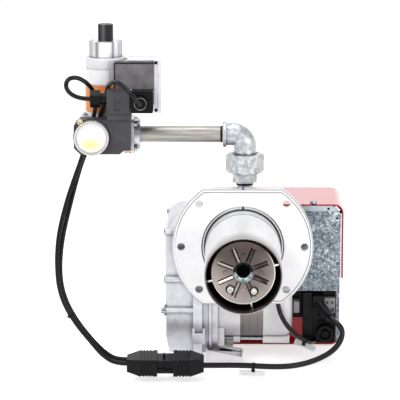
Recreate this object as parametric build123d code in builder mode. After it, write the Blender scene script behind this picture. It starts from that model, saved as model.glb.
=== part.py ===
"""Small gas burner with its gas train: blast tube to the front (-Y), X right, Z up, millimetres."""
from build123d import *
import math
import os

os.makedirs("parts", exist_ok=True)

# ---------------------------------------------------------------- driving dimensions
fit = 0.05            # radial play of a turning or sliding fit
seat = 0.3            # play between a curved face and the piece that sits on it

# mounting flange and its seal; the seal's front face is Y = 0
flange_d = 187.0
flange_across = flange_d - 32.0
flange_t = 8.0
seal_t = 3.0
seal_inset = 1.7
bolt_circle = flange_d - 24.0
bolt_hole = 10.5
clamp_gap = 3.0

# blast tube
tube_d = 98.5
seal_bore = tube_d + 11.1
tube_wall = 2.5
tube_reach = 170.0
tube_tail = 15.0      # length held behind the flange
bead_y = -25.0

# combustion head
disc_d = 81.0
disc_t = 1.5
disc_recess = 20.0
disc_dish = 2.5
disc_hole = 26.0
louvre_count = 8
louvre_inner = 14.5
louvre_outer = 33.0
louvre_w = 4.6
head_tube_d = 30.0
head_tube_wall = 2.0
head_travel = 8.0
electrode_r = 27.0
electrode_angles = (232.0, 300.0)
electrode_hole = 11.4
ceramic_d = 7.5
pin_d = 2.5

# head chamber behind the flange
chamber_r = 56.0
chamber_wall = 4.0
chamber_depth = 51.0

# volute: outline in Y and Z, width in X
volute_front = 18.0
volute_back = 172.0
volute_top = 42.0
volute_bottom = -166.0
heel_r = 75.0
back_r = 84.0
nose_r = 40.0
volute_wall = 4.0
volute_left = -103.0
volute_joint = -60.0
volute_right = -33.0
band = 6.2            # how far the joint flanges stand out
screw_d = 5.0

# motor and fan, on one axis along X
motor_y = 90.0
motor_z = -85.0
motor_r = 57.0
stator_x0 = -3.0
stator_x1 = 28.0
motor_end = 67.0
stator_bore = 64.0
air_gap = 0.5
shaft_d = 12.0
bearing_d = 32.0
bearing_w = 9.0
rod_r = motor_r + 3.0
rod_d = 5.0
rod_lug = 6.0
fan_d = 112.0
fan_blades = 28
eye_r = 40.0
casing_end = -12.0    # right end of the intake casing
casing_wall = 3.5

# cover and panel
hood_t = 1.8
hood_left = -40.0
hood_right = 135.5
hood_top = 45.0
hood_front = 63.0
hood_back = 181.0
hood_cut_z = -57.0
hood_floor = -174.5
hood_lip_y = 160.0
hood_corner = 12.0
plate_t = 1.5
plate_left = 57.0
plate_right = 131.0
plate_bottom = -74.0
panel_screw_points = [(64.0, 17.0), (64.0, -17.0)]

# gas train
inlet_x = 2.5
train_y = 45.0
boss_top = 70.0
thread_d = 20.9
pipe_d = 21.3
pipe_bore = 16.0
pipe_z = 143.5
nipple_af = 28.5
union_af = 44.5
union_z0 = 92.5
union_z1 = 117.5
elbow_d = 29.7
elbow_bead_d = 34.0
outlet_x = -136.2     # face of the valve's outlet flange
valve_right = -148.0
valve_left = -222.0
valve_front = 26.0
valve_back = 74.0
valve_bottom = 121.0
valve_top = 166.0
tower_x = -181.6
tower_y = 50.0
tower_d = 53.0
tower_top = 246.5
bonnet_d = 41.0
bonnet_top = 267.8
cap_d = 20.0
cap_top = 289.6
coil_right = -117.0
coil_left = -169.0
coil_bottom = 210.0
coil_top = 245.0

# pressure switch in front of the valve
switch_front = -15.0
switch_back = 12.0
switch_left = -221.0
switch_right = -147.0
switch_bottom = 126.7
switch_top = 172.0
window_x = -197.5
window_z = 149.5
window_d = 46.5
window_depth = 11.0

# leads
lead_d = 6.0
burner_lead_d = 7.6
sensor_lead_d = 6.2


def facing(y):
    """Plane at depth y that looks to the front; its axes are X and Z."""
    return Plane.XZ.offset(-y)


def side(x):
    """Plane at x that looks to the right; its axes are Y and Z."""
    return Plane.YZ.offset(x)


def level(z):
    """Plane at height z that looks up; its axes are X and Y."""
    return Plane.XY.offset(z)


def bar_x(x0, x1, y, z, radius, mode=Mode.ADD):
    with BuildSketch(side(x0)) as section:
        with Locations((y, z)):
            Circle(radius)
    extrude(section.sketch, amount=x1 - x0, mode=mode)


def bar_y(y0, y1, x, z, radius, mode=Mode.ADD):
    with BuildSketch(facing(y1)) as section:
        with Locations((x, z)):
            Circle(radius)
    extrude(section.sketch, amount=y1 - y0, mode=mode)


def bar_z(z0, z1, x, y, radius, mode=Mode.ADD):
    with BuildSketch(level(z0)) as section:
        with Locations((x, y)):
            Circle(radius)
    extrude(section.sketch, amount=z1 - z0, mode=mode)


def block(x0, x1, y0, y1, z0, z1, mode=Mode.ADD):
    with Locations(((x0 + x1) / 2, (y0 + y1) / 2, (z0 + z1) / 2)):
        Box(x1 - x0, y1 - y0, z1 - z0, mode=mode)


def polar(radius, angle):
    """Point in the X-Z plane at an angle from +X."""
    return radius * math.cos(math.radians(angle)), radius * math.sin(math.radians(angle))


def polar_point(radius, angle, y):
    """Point at a radius and angle about the burner's axis, at depth y."""
    x, z = polar(radius, angle)
    return (x, y, z)


# ---------------------------------------------------------------- flange and seal
tube_r = tube_d / 2
tube_bore_r = tube_r - tube_wall
flange_back = seal_t + flange_t
collar_r = tube_r + 1.35
bolt_angles = (0, 45, 135, 180, 225, 315)
bolt_points = [polar(bolt_circle / 2, a) for a in bolt_angles]
lug_z0, lug_z1 = chamber_r + 2.0, flange_across / 2 - 1.5
clamp_y = flange_back + 8.0
clamp_z = (lug_z0 + lug_z1) / 2

with BuildPart() as flange_seal:
    with BuildSketch(facing(seal_t)):
        Circle(flange_d / 2 - seal_inset)
        Rectangle(flange_d, flange_across - 2 * seal_inset, mode=Mode.INTERSECT)
        Circle(seal_bore / 2, mode=Mode.SUBTRACT)
        with Locations(*bolt_points):
            Circle(bolt_hole / 2, mode=Mode.SUBTRACT)
    extrude(amount=seal_t)
flange_seal.part.label = "flange_seal"
export_step(flange_seal.part, "parts/flange_seal.step")

with BuildPart() as mounting_flange:
    with BuildSketch(facing(flange_back)):
        Circle(flange_d / 2)
        Rectangle(flange_d, flange_across, mode=Mode.INTERSECT)
        Circle(tube_r + fit, mode=Mode.SUBTRACT)
        with Locations(*bolt_points):
            Circle(bolt_hole / 2, mode=Mode.SUBTRACT)
    extrude(amount=flange_t)
    with BuildSketch(facing(seal_t)):
        Circle(seal_bore / 2 - seat)
        Circle(collar_r, mode=Mode.SUBTRACT)
    extrude(amount=seal_t - 0.8)
    bar_y(seal_t, seal_t + 3, 0, 0, collar_r, Mode.SUBTRACT)
    for end in (-1, 1):
        block(min(end * clamp_gap / 2, end * 14), max(end * clamp_gap / 2, end * 14),
              flange_back, flange_back + 15, lug_z0, lug_z1)
    block(-clamp_gap / 2, clamp_gap / 2, 0, flange_back + 20, tube_r - 2, flange_across, Mode.SUBTRACT)
    bar_x(-14, 14, clamp_y, clamp_z, 4 + 0.2, Mode.SUBTRACT)
mounting_flange.part.label = "mounting_flange"
export_step(mounting_flange.part, "parts/mounting_flange.step")

with BuildPart() as clamp_screw:
    bar_x(-20, 14, clamp_y, clamp_z, 4)
    bar_x(14, 22, clamp_y, clamp_z, 6.5)
    with BuildSketch(side(18)):
        with Locations((clamp_y, clamp_z)):
            RegularPolygon(3.4, 6)
    extrude(amount=4, mode=Mode.SUBTRACT)
    with BuildSketch(side(-20)):
        with Locations((clamp_y, clamp_z)):
            RegularPolygon(7.5, 6)
    extrude(amount=6)
clamp_screw.part.label = "clamp_screw"
export_step(clamp_screw.part, "parts/clamp_screw.step")

# ---------------------------------------------------------------- blast tube
tube_rear = flange_back + tube_tail
bead_half, bead_out = 3.0, 0.9

with BuildPart() as blast_tube:
    with BuildSketch(Plane.XY):
        with BuildLine():
            Polyline((tube_r, bead_y - bead_half), (tube_r, 1 - tube_reach),
                     (tube_r - 1, -tube_reach), (tube_bore_r, -tube_reach),
                     (tube_bore_r, bead_y - bead_half))
            ThreePointArc((tube_bore_r, bead_y - bead_half), (tube_bore_r + bead_out, bead_y),
                          (tube_bore_r, bead_y + bead_half))
            Polyline((tube_bore_r, bead_y + bead_half), (tube_bore_r, tube_rear),
                     (tube_r, tube_rear), (tube_r, bead_y + bead_half))
            ThreePointArc((tube_r, bead_y + bead_half), (tube_r + bead_out, bead_y),
                          (tube_r, bead_y - bead_half))
        make_face()
    revolve(axis=Axis.Y)
blast_tube.part.label = "blast_tube"
export_step(blast_tube.part, "parts/blast_tube.step")

# ---------------------------------------------------------------- combustion head
disc_r = disc_d / 2
disc_y = disc_recess - tube_reach          # front of the disc's rim
hole_r = disc_hole / 2
hole_y = disc_y + disc_dish                # front of the disc at its centre hole
dish_angle = math.degrees(math.atan2(disc_dish, disc_r - hole_r))
tab_angles = (14, 104, 194, 284)
tab_r = tube_bore_r - 3 * fit
rivet_angles = (0, 90, 180, 270)
rivet_r = 22.5
head_r = head_tube_d / 2
head_bore_r = head_r - head_tube_wall


def dish_front(radius):
    """Depth of the dished disc's front face at a radius."""
    return disc_y + (disc_r - radius) * math.tan(math.radians(dish_angle))


def spoke_plane(y, angle):
    """Plane at depth y that looks to the front, its x axis pointing outward at an angle."""
    x, z = polar(1, angle)
    return Plane(origin=(0, y, 0), x_dir=(x, 0, z), z_dir=(0, -1, 0))


def louvre_plane(angle, radius):
    """Plane across a radial louvre: x along the rim, y forward, z outward along the dish."""
    c, s = math.cos(math.radians(angle)), math.sin(math.radians(angle))
    tilt = math.radians(dish_angle)
    outward = (c * math.cos(tilt), -math.sin(tilt), s * math.cos(tilt))
    return Plane(origin=(radius * c, dish_front(radius), radius * s), x_dir=(-s, 0, c), z_dir=outward)


with BuildPart() as diffuser_disc:
    with BuildSketch(Plane.XY):
        with BuildLine():
            Polyline((hole_r, hole_y), (disc_r, disc_y), (disc_r, disc_y + 5),
                     (disc_r - disc_t, disc_y + 5), (disc_r - disc_t, disc_y + disc_t),
                     (hole_r, hole_y + disc_t), close=True)
        make_face()
    revolve(axis=Axis.Y)
    for k in range(louvre_count):
        angle = 360 / louvre_count * (k + 0.5)
        with BuildSketch(louvre_plane(angle, louvre_inner)):
            with Locations((0.4, -disc_t)):
                Rectangle(louvre_w - 1.6, 3 * disc_t, align=(Align.CENTER, Align.CENTER))
        extrude(amount=louvre_outer - louvre_inner, mode=Mode.SUBTRACT)
        with BuildSketch(louvre_plane(angle, louvre_inner)):
            with BuildLine():
                Polyline((-louvre_w / 2, -0.6), (-louvre_w / 2, 0.9), (louvre_w / 2 - 1, 3.4),
                         (louvre_w / 2, 2.6), (louvre_w / 2 - 0.6, 1.7), (-0.6, 0.1),
                         (-1.2, -0.6), close=True)
            make_face()
        extrude(amount=louvre_outer - louvre_inner)
    with Locations(*[(x, 0, z) for x, z in (polar(electrode_r, a) for a in electrode_angles)]):
        Cylinder(electrode_hole / 2, 4 * tube_reach, rotation=(90, 0, 0), mode=Mode.SUBTRACT)
    for x, z in (polar(rivet_r, a) for a in rivet_angles):
        bar_y(dish_front(rivet_r) - 1.2, dish_front(head_bore_r) + disc_t + 1.9, x, z, 1.5)
        bar_y(dish_front(rivet_r) - 1.4, dish_front(rivet_r) + 0.2, x, z, 2.6)
    for angle in tab_angles:
        with BuildSketch(spoke_plane(disc_y, angle)):
            with Locations(((disc_r - 1 + tab_r) / 2, 0)):
                Rectangle(tab_r - disc_r + 1, 4)
        extrude(amount=-disc_t)
        with BuildSketch(spoke_plane(disc_y, angle)):
            with Locations((tab_r - 0.6, 0)):
                Rectangle(1.2, 4)
        extrude(amount=-16)
diffuser_disc.part.label = "diffuser_disc"
export_step(diffuser_disc.part, "parts/diffuser_disc.step")

head_front = dish_front(head_bore_r) + disc_t + 0.2
ear_front = dish_front(head_bore_r) + disc_t + 0.2
manifold_y0, manifold_y1 = 28.0, 54.0
head_rear = manifold_y1 - head_travel
hub_y0 = 16.0
screw_tip = 30.0
clamp_plate_y = -106.0

with BuildPart() as gas_head:
    bar_y(head_front, head_rear, 0, 0, head_r)
    bar_y(head_front - 1, head_rear - 4, 0, 0, head_bore_r, Mode.SUBTRACT)
    for x, z in (polar(1, a) for a in rivet_angles):
        reach = rivet_r + 3.5 - head_bore_r - 0.5
        mid = head_bore_r + 0.5 + reach / 2
        block(x * mid - (reach / 2 if x else 3.5), x * mid + (reach / 2 if x else 3.5),
              ear_front, ear_front + 1.6,
              z * mid - (reach / 2 if z else 3.5), z * mid + (reach / 2 if z else 3.5))
    for x, z in (polar(rivet_r, a) for a in rivet_angles):
        bar_y(ear_front - 1, ear_front + 3, x, z, 1.5 + fit, Mode.SUBTRACT)
    with BuildSketch(facing(head_front + 8)):
        Circle(head_bore_r)
        Circle(head_bore_r - 4, mode=Mode.SUBTRACT)
        with PolarLocations(head_bore_r - 2, 8):
            Circle(1.2, mode=Mode.SUBTRACT)
    extrude(amount=3)
    for k in range(8):
        x, z = polar(1, 45 * k + 22.5)
        with BuildSketch(Plane(origin=(0, head_front + 16, 0), z_dir=(x, 0, z))):
            Circle(1.6)
        extrude(amount=head_tube_d, mode=Mode.SUBTRACT)
    block(-7, 7, screw_tip, head_rear - 5, 5, head_tube_d, Mode.SUBTRACT)
    bar_y(hub_y0, head_rear, 0, 0, 6)
    bar_y(hub_y0 + 3, head_rear, 0, 0, 3 + fit, Mode.SUBTRACT)
    for angle in electrode_angles:
        with BuildSketch(spoke_plane(clamp_plate_y, angle)):
            with Locations(((head_r - 1 + electrode_r) / 2, 0)):
                Rectangle(electrode_r - head_r + 1, 9)
            with Locations((electrode_r, 0)):
                Circle(ceramic_d / 2 + 2.6)
            with Locations((electrode_r, 0)):
                Circle(ceramic_d / 2 + fit, mode=Mode.SUBTRACT)
        extrude(amount=-6)
gas_head.part.label = "gas_head"
export_step(gas_head.part, "parts/gas_head.step")


def pin_route(angle, lean, reach):
    """Straight pin along the ceramic whose tip leans to one side in front of the disc."""
    x, z = polar(electrode_r, angle)
    u, w = polar(1, lean)
    return [(x, -72, z), (x, disc_y - 8, z), (x + u * reach, disc_y - 14, z + w * reach)]


for name, angle, lean, reach in (("ignition_electrode", electrode_angles[0], 50, 5),
                                 ("flame_probe", electrode_angles[1], 90, 3)):
    route = pin_route(angle, lean, reach)
    x, z = polar(electrode_r, angle)
    with BuildPart() as electrode:
        bar_y(disc_y - 4, -84, x, z, ceramic_d / 2)
        bar_y(clamp_plate_y + 6 + 0.1, clamp_plate_y + 12, x, z, ceramic_d / 2 + 1)
        with BuildLine():
            FilletPolyline(*route, radius=3)
        with BuildSketch(Plane(origin=route[0], z_dir=(0, -1, 0))):
            Circle(pin_d / 2)
        sweep()
        bar_y(-80, -72, x, z, 2)
    electrode.part.label = name
    export_step(electrode.part, f"parts/{name}.step")

chamber_back = flange_back + chamber_depth

with BuildPart() as head_screw:
    bar_y(screw_tip, chamber_back + 0.2, 0, 0, 3)
    bar_y(chamber_back + 0.2, chamber_back + 7, 0, 0, 7)
    block(-8, 8, chamber_back + 5.5, chamber_back + 8, -0.8, 0.8, Mode.SUBTRACT)
    bar_y(chamber_back - chamber_wall - 2.2, chamber_back - chamber_wall - 0.2, 0, 0, 4.5)
head_screw.part.label = "head_screw"
export_step(head_screw.part, "parts/head_screw.step")

neck_top = 46.0

with BuildPart() as gas_manifold:
    bar_y(manifold_y0, manifold_y1 - 2.6, 0, 0, 20)
    bar_z(head_r + 1, neck_top, inlet_x, train_y, 10.5)
    bar_z(neck_top - 4, neck_top, inlet_x, train_y, 12.5)
    bar_z(0, neck_top, inlet_x, train_y, 8, Mode.SUBTRACT)
    bar_y(manifold_y0, manifold_y1, 0, 0, head_r + fit, Mode.SUBTRACT)
gas_manifold.part.label = "gas_manifold"
export_step(gas_manifold.part, "parts/gas_manifold.step")

# ---------------------------------------------------------------- volute and head chamber
keel_r = volute_back - (volute_front + heel_r)
heel_y, heel_z = volute_front + heel_r, volute_bottom + heel_r
keel_z = volute_bottom + keel_r
back_y, back_z = volute_back - back_r, volute_top - back_r
nose_y, nose_z = volute_front + nose_r, volute_top - nose_r
fan_x0 = volute_left + volute_wall + 4.0
fan_x1 = volute_right - volute_wall - 2.0
joint_back = volute_joint - 6.0            # left edge of the cover's joint flange
top_corner_r = 37.5
bolt_w = 5.0                               # radius of the screw bosses

# the motor's tie rods go from the volute's right wall through to the outer bell
rod_angles = (75, 165, 255, 345)
rod_points = [(motor_y + u, motor_z + w) for u, w in (polar(rod_r, a) for a in rod_angles)]

# screw bosses of the volute: depth, height and left end
boss_points = [
    (nose_y - (nose_r + 1) * math.cos(math.radians(21)), nose_z + (nose_r + 1) * math.sin(math.radians(21)),
     volute_left),
    (volute_front - 1, -48.0, volute_left),
    (volute_front - 1, -90.5, volute_left),
    (heel_y + 39, keel_z - (keel_r + 1) * 0.872, volute_left + 3),
    (volute_back + 1, (keel_z + back_z) / 2, volute_left),
    (back_y + (back_r + 1) * math.sin(math.radians(45)), back_z + (back_r + 1) * math.sin(math.radians(45)),
     volute_left + 1),
]


def scroll(x0, x1, grow=0.0, mode=Mode.ADD):
    """Volute outline: four quarter arcs joined by straight runs, extruded along X."""
    with BuildSketch(side(x0)) as section:
        with BuildLine():
            Line((volute_front - grow, nose_z), (volute_front - grow, heel_z))
            CenterArc((heel_y, heel_z), heel_r + grow, 180, 90)
            CenterArc((heel_y, keel_z), keel_r + grow, 270, 90)
            Line((volute_back + grow, keel_z), (volute_back + grow, back_z))
            CenterArc((back_y, back_z), back_r + grow, 0, 90)
            Line((back_y, volute_top + grow), (nose_y, volute_top + grow))
            CenterArc((nose_y, nose_z), nose_r + grow, 90, 90)
        make_face()
    extrude(section.sketch, amount=x1 - x0, mode=mode)


def front_profile(x1, inset=0.0):
    """Front silhouette of the volute: round upper left corner, slight taper at the foot."""
    left, foot, crown = volute_left + inset, volute_bottom - 10, volute_top + 10
    corner = top_corner_r - inset
    corner_z = volute_top + 2 - top_corner_r
    with BuildSketch(facing(volute_back + 20)) as section:
        with BuildLine():
            Polyline((x1, crown), (x1, foot), (left + 7, foot), (left, -125), (left, corner_z))
            CenterArc((left + corner, corner_z), corner, 90, 90)
            Polyline((left + corner, corner_z + corner), (left + corner, crown), (x1, crown))
        make_face()
    return section.sketch


with BuildPart() as cover_cavity:
    scroll(volute_left + volute_wall, volute_joint, -volute_wall)
    extrude(front_profile(volute_joint + 5, volute_wall), amount=volute_back + 40, mode=Mode.INTERSECT)

with BuildPart() as volute_cover:
    scroll(volute_left, volute_joint)
    extrude(front_profile(volute_joint + 5), amount=volute_back + 40, mode=Mode.INTERSECT)
    rim = volute_cover.faces().sort_by(Axis.X)[0].edges()
    fillet(rim, 3)
    scroll(joint_back, volute_joint, band)
    for y, z, left in boss_points:
        bar_x(left, volute_joint, y, z, bolt_w)
    add(cover_cavity.part, mode=Mode.SUBTRACT)
    for y, z, left in boss_points:
        bar_x(left - 1, volute_joint + 1, y, z, screw_d / 2 + 0.15, Mode.SUBTRACT)
volute_cover.part.label = "volute_cover"
export_step(volute_cover.part, "parts/volute_cover.step")

grommet_angle, grommet_y = -50, 28.0      # where the probe's lead comes out of the chamber
saddle_r = motor_r + 1.5                   # the chamber's underside is hollowed over the motor
chamber_back = flange_back + chamber_depth

with BuildPart() as chamber_cavity:
    bar_y(tube_rear + 3, chamber_back - chamber_wall, 0, 0, chamber_r - chamber_wall)
    bar_x(-chamber_r, chamber_r, motor_y, motor_z, saddle_r + chamber_wall, Mode.SUBTRACT)

with BuildPart() as housing_casting:
    bar_y(flange_back, chamber_back, 0, 0, chamber_r)
    bar_x(-chamber_r, chamber_r, motor_y, motor_z, saddle_r, Mode.SUBTRACT)
    scroll(volute_joint, volute_right)
    scroll(volute_joint, volute_joint + 6, band)
    scroll(volute_joint + 15.4, volute_joint + 18.4, band / 2)
    bar_x(volute_right - 3.5, volute_right, motor_y, motor_z, motor_r + 15)
    for x, z in panel_screw_points:
        block(40, x + 8, chamber_back - 8, chamber_back, z - 7, z + 7)
        bar_y(chamber_back - 8, chamber_back, x, z, 2.5, Mode.SUBTRACT)
    scroll(volute_joint - 1, volute_right - volute_wall, -volute_wall, Mode.SUBTRACT)
    bar_y(flange_back - 1, tube_rear, 0, 0, tube_r + fit, Mode.SUBTRACT)
    bar_y(tube_rear - 1, tube_rear + 4, 0, 0, tube_bore_r, Mode.SUBTRACT)
    add(chamber_cavity.part, mode=Mode.SUBTRACT)
    bar_y(chamber_back - chamber_wall - 1, chamber_back + 1, 0, 0, 3 + fit, Mode.SUBTRACT)
    bar_x(volute_right - 10, volute_right + 1, motor_y, motor_z, eye_r, Mode.SUBTRACT)
    bar_z(neck_top, boss_top, inlet_x, train_y, 15)
    bar_z(boss_top - 13, boss_top + 1, inlet_x, train_y, thread_d / 2 + fit, Mode.SUBTRACT)
    bar_z(neck_top - 1, boss_top, inlet_x, train_y, 9, Mode.SUBTRACT)
    for y, z, left in boss_points:
        bar_x(volute_joint - 1, volute_joint + 5.4, y, z, screw_d / 2 + 0.15, Mode.SUBTRACT)
    for y, z in rod_points:
        bar_x(volute_right - 3, volute_right + 1, y, z, rod_d / 2 + 0.1, Mode.SUBTRACT)
with BuildPart() as grommet_seat:
    with BuildSketch(Plane(origin=polar_point(chamber_r - 2, grommet_angle, grommet_y),
                           z_dir=polar_point(1, grommet_angle, 0))):
        Circle(5)
    extrude(amount=5)

with BuildPart() as burner_housing:
    add(housing_casting.part)
    add(grommet_seat.part)
burner_housing.part.label = "burner_housing"
export_step(burner_housing.part, "parts/burner_housing.step")

with BuildPart() as housing_screws:
    for k, (y, z, left) in enumerate(boss_points):
        head = 5.6 if k == 2 else 1.8      # the third screw is longer and has a washer
        bar_x(left, volute_joint + 5.2, y, z, screw_d / 2)
        if k == 2:
            bar_x(left - 1.6, left, y, z, 7.5)
        with BuildSketch(side(left - head)):
            with Locations((y, z)):
                Circle(4.2)
                RegularPolygon(2.3, 6, mode=Mode.SUBTRACT)
        extrude(amount=head)
housing_screws.part.label = "housing_screws"
export_step(housing_screws.part, "parts/housing_screws.step")

# ---------------------------------------------------------------- air intake and damper
scoop_left, scoop_right = -49.0, 0.5
scoop_front, scoop_back = 34.0, 66.0
scoop_left_z, scoop_right_z = -147.0, -155.7
scoop_floor = -166.0
duct_x0, duct_x1 = volute_right + 0.3, casing_end
duct_wall = 2.0
throat_y0, throat_y1 = 84.0, 116.0
duct_back = throat_y1 + 2.0
duct_top = -153.0
damper_x, damper_z = (duct_x0 + duct_x1) / 2, -150.0
spindle_r = 2.0
lug_w = 8.7             # width of the lugs that the tie rods screw into

with BuildPart() as air_intake:
    bar_x(volute_right, casing_end, motor_y, motor_z, motor_r)
    for y, z in rod_points:
        bar_x(volute_right, volute_right + lug_w, y, z, rod_lug)
    block(volute_right, volute_right + lug_w, motor_y - 44, motor_y - 8, motor_z - rod_r - 2, motor_z - 37)
    block(duct_x0, duct_x1, throat_y0 - 2, duct_back, scoop_floor, motor_z)
    block(duct_x0, duct_x1, scoop_front + 10, duct_back, scoop_floor, duct_top)
    with BuildSketch(facing(scoop_back)):
        Polygon((scoop_left, scoop_left_z), (scoop_left, scoop_floor), (scoop_right, scoop_floor),
                (scoop_right, scoop_right_z), align=None)
    extrude(amount=scoop_back - scoop_front)
    # inside of the casing, throat, duct and scoop
    bar_x(volute_right - 1, casing_end + 1, motor_y, motor_z, motor_r - casing_wall, Mode.SUBTRACT)
    block(duct_x0 + duct_wall, duct_x1 - duct_wall, throat_y0, throat_y1,
          scoop_floor + duct_wall, motor_z - motor_r + 10, Mode.SUBTRACT)
    block(duct_x0 + duct_wall, duct_x1 - duct_wall, scoop_front + 20, throat_y1,
          scoop_floor + duct_wall, duct_top - duct_wall, Mode.SUBTRACT)
    with BuildSketch(facing(scoop_back - 2)):
        Polygon((scoop_left + 2, scoop_left_z - 2), (scoop_left + 2, scoop_floor + 2),
                (scoop_right - 1.5, scoop_floor + 2), (scoop_right - 1.5, scoop_right_z - 2), align=None)
    extrude(amount=scoop_back - scoop_front - 5, mode=Mode.SUBTRACT)
    with BuildSketch(facing(scoop_back - 8)):
        Polygon((scoop_left + 2, scoop_left_z + 3), (scoop_left + 2, scoop_left_z - 3),
                (scoop_right - 1.5, scoop_right_z - 3.5), (scoop_right - 1.5, scoop_right_z + 3), align=None)
    extrude(amount=scoop_back - scoop_front, mode=Mode.SUBTRACT)
    # guide fins across the mouth, lower towards the front
    for fin_y, left_z, right_z in ((51, -154.3, -156.7), (42, -157.6, -158.4)):
        with BuildSketch(facing(fin_y)):
            Polygon((scoop_left + 1, left_z), (scoop_left + 1, scoop_floor + 1),
                    (scoop_right - 0.5, scoop_floor + 1), (scoop_right - 0.5, right_z), align=None)
        extrude(amount=1.4)
    block(duct_x0 + 1, duct_x1 - 1, throat_y0 - 3, throat_y0, damper_z - 3.5, damper_z + 3.5)
    bar_y(throat_y0 - 4, duct_back + 1, damper_x, damper_z, spindle_r + fit, Mode.SUBTRACT)
    scroll(scoop_left - 1, volute_right, band + seat, Mode.SUBTRACT)
    for y, z in rod_points:
        bar_x(volute_right - 1, casing_end + 1, y, z, rod_d / 2 + 0.1, Mode.SUBTRACT)
air_intake.part.label = "air_intake"
export_step(air_intake.part, "parts/air_intake.step")

flap_half = (duct_x1 - duct_x0) / 2 - duct_wall - 0.4

with BuildPart() as air_damper:
    bar_y(throat_y0 - 4, duct_back + 5, damper_x, damper_z, spindle_r)
    block(damper_x - flap_half, damper_x + flap_half, throat_y0 + 0.5, throat_y1 - 0.5,
          damper_z - 0.8, damper_z + 0.8)
    with BuildSketch(facing(duct_back + 3.4)):
        with Locations((damper_x, damper_z)):
            Circle(4)
        with Locations((damper_x + 6, damper_z)):
            Rectangle(12, 5)
        with Locations((damper_x + 12, damper_z)):
            Circle(2.5)
        with Locations((damper_x + 11.5, damper_z)):
            Circle(1.1, mode=Mode.SUBTRACT)
    extrude(amount=3)
air_damper.part.label = "air_damper"
export_step(air_damper.part, "parts/air_damper.step")

# ---------------------------------------------------------------- motor and fan
bell_lip = 3.0
hub_r = bearing_d / 2 + 4

with BuildPart() as motor_inner_bell:
    bar_x(casing_end, stator_x0, motor_y, motor_z, motor_r)
    for y, z in rod_points:
        bar_x(casing_end, stator_x0, y, z, rod_lug)
    bar_x(casing_end + bell_lip, stator_x0 + 1, motor_y, motor_z, motor_r - 6, Mode.SUBTRACT)
    bar_x(casing_end - 5, casing_end + 7, motor_y, motor_z, hub_r)
    bar_x(casing_end - 6, stator_x0, motor_y, motor_z, shaft_d / 2 + 1, Mode.SUBTRACT)
    bar_x(casing_end - 3, stator_x0, motor_y, motor_z, bearing_d / 2 + fit, Mode.SUBTRACT)
    for y, z in rod_points:
        bar_x(casing_end - 1, stator_x0 + 1, y, z, rod_d / 2 + 0.1, Mode.SUBTRACT)
motor_inner_bell.part.label = "motor_inner_bell"
export_step(motor_inner_bell.part, "parts/motor_inner_bell.step")

with BuildPart() as motor_stator:
    bar_x(stator_x0, stator_x1, motor_y, motor_z, motor_r)
    bar_x(stator_x0 - 1, stator_x1 + 1, motor_y, motor_z, stator_bore / 2, Mode.SUBTRACT)
    for y, z in rod_points:
        bar_x(stator_x0 - 1, stator_x1 + 1, y, z, rod_d / 2 + 1.2, Mode.SUBTRACT)
motor_stator.part.label = "motor_stator"
export_step(motor_stator.part, "parts/motor_stator.step")

with BuildPart() as motor_winding:
    for x0, x1 in ((stator_x0 - 4, stator_x0), (stator_x1, stator_x1 + 11)):
        bar_x(x0, x1, motor_y, motor_z, motor_r - 10)
        bar_x(x0, x1, motor_y, motor_z, stator_bore / 2 + 4, Mode.SUBTRACT)
motor_winding.part.label = "motor_winding"
export_step(motor_winding.part, "parts/motor_winding.step")

outer_hub_x = motor_end - 17

with BuildPart() as motor_outer_bell:
    bar_x(stator_x1, motor_end, motor_y, motor_z, motor_r)
    fillet(motor_outer_bell.faces().sort_by(Axis.X)[-1].edges(), 12)
    for y, z in rod_points:
        bar_x(stator_x1, motor_end - 3, y, z, rod_lug + 1)
    bar_x(stator_x1 - 1, motor_end - 5, motor_y, motor_z, motor_r - 11, Mode.SUBTRACT)
    bar_x(stator_x1 - 1, motor_end - 14, motor_y, motor_z, motor_r - 4, Mode.SUBTRACT)
    bar_x(outer_hub_x, motor_end - 4, motor_y, motor_z, hub_r)
    bar_x(outer_hub_x - 1, outer_hub_x + bearing_w + 0.4, motor_y, motor_z, bearing_d / 2 + fit,
          Mode.SUBTRACT)
    for y, z in rod_points:
        bar_x(stator_x1 - 1, motor_end, y, z, rod_d / 2 + 0.1, Mode.SUBTRACT)
        bar_x(motor_end - 9, motor_end + 1, y, z, 5.5, Mode.SUBTRACT)
motor_outer_bell.part.label = "motor_outer_bell"
export_step(motor_outer_bell.part, "parts/motor_outer_bell.step")

with BuildPart() as motor_bearings:
    for x0 in (casing_end - 2.8, outer_hub_x + 0.2):
        bar_x(x0, x0 + bearing_w, motor_y, motor_z, bearing_d / 2)
        bar_x(x0, x0 + bearing_w, motor_y, motor_z, shaft_d / 2 + fit, Mode.SUBTRACT)
motor_bearings.part.label = "motor_bearings"
export_step(motor_bearings.part, "parts/motor_bearings.step")

with BuildPart() as motor_rotor:
    bar_x(stator_x0 + 1, stator_x1 - 1, motor_y, motor_z, stator_bore / 2 - air_gap)
    bar_x(fan_x0 - 1, outer_hub_x + bearing_w, motor_y, motor_z, shaft_d / 2)
motor_rotor.part.label = "motor_rotor"
export_step(motor_rotor.part, "parts/motor_rotor.step")

with BuildPart() as motor_tie_rods:
    for y, z in rod_points:
        bar_x(volute_right - 2.5, motor_end - 9, y, z, rod_d / 2)
        with BuildSketch(side(motor_end - 9)):
            with Locations((y, z)):
                RegularPolygon(4.6, 6)
        extrude(amount=4)
motor_tie_rods.part.label = "motor_tie_rods"
export_step(motor_tie_rods.part, "parts/motor_tie_rods.step")

fan_r = fan_d / 2
blade_depth = 11.0
blade_t = 1.0

blade_root, blade_tip = fan_r - blade_depth, fan_r - 0.5
blade_sag = -2.2

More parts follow.
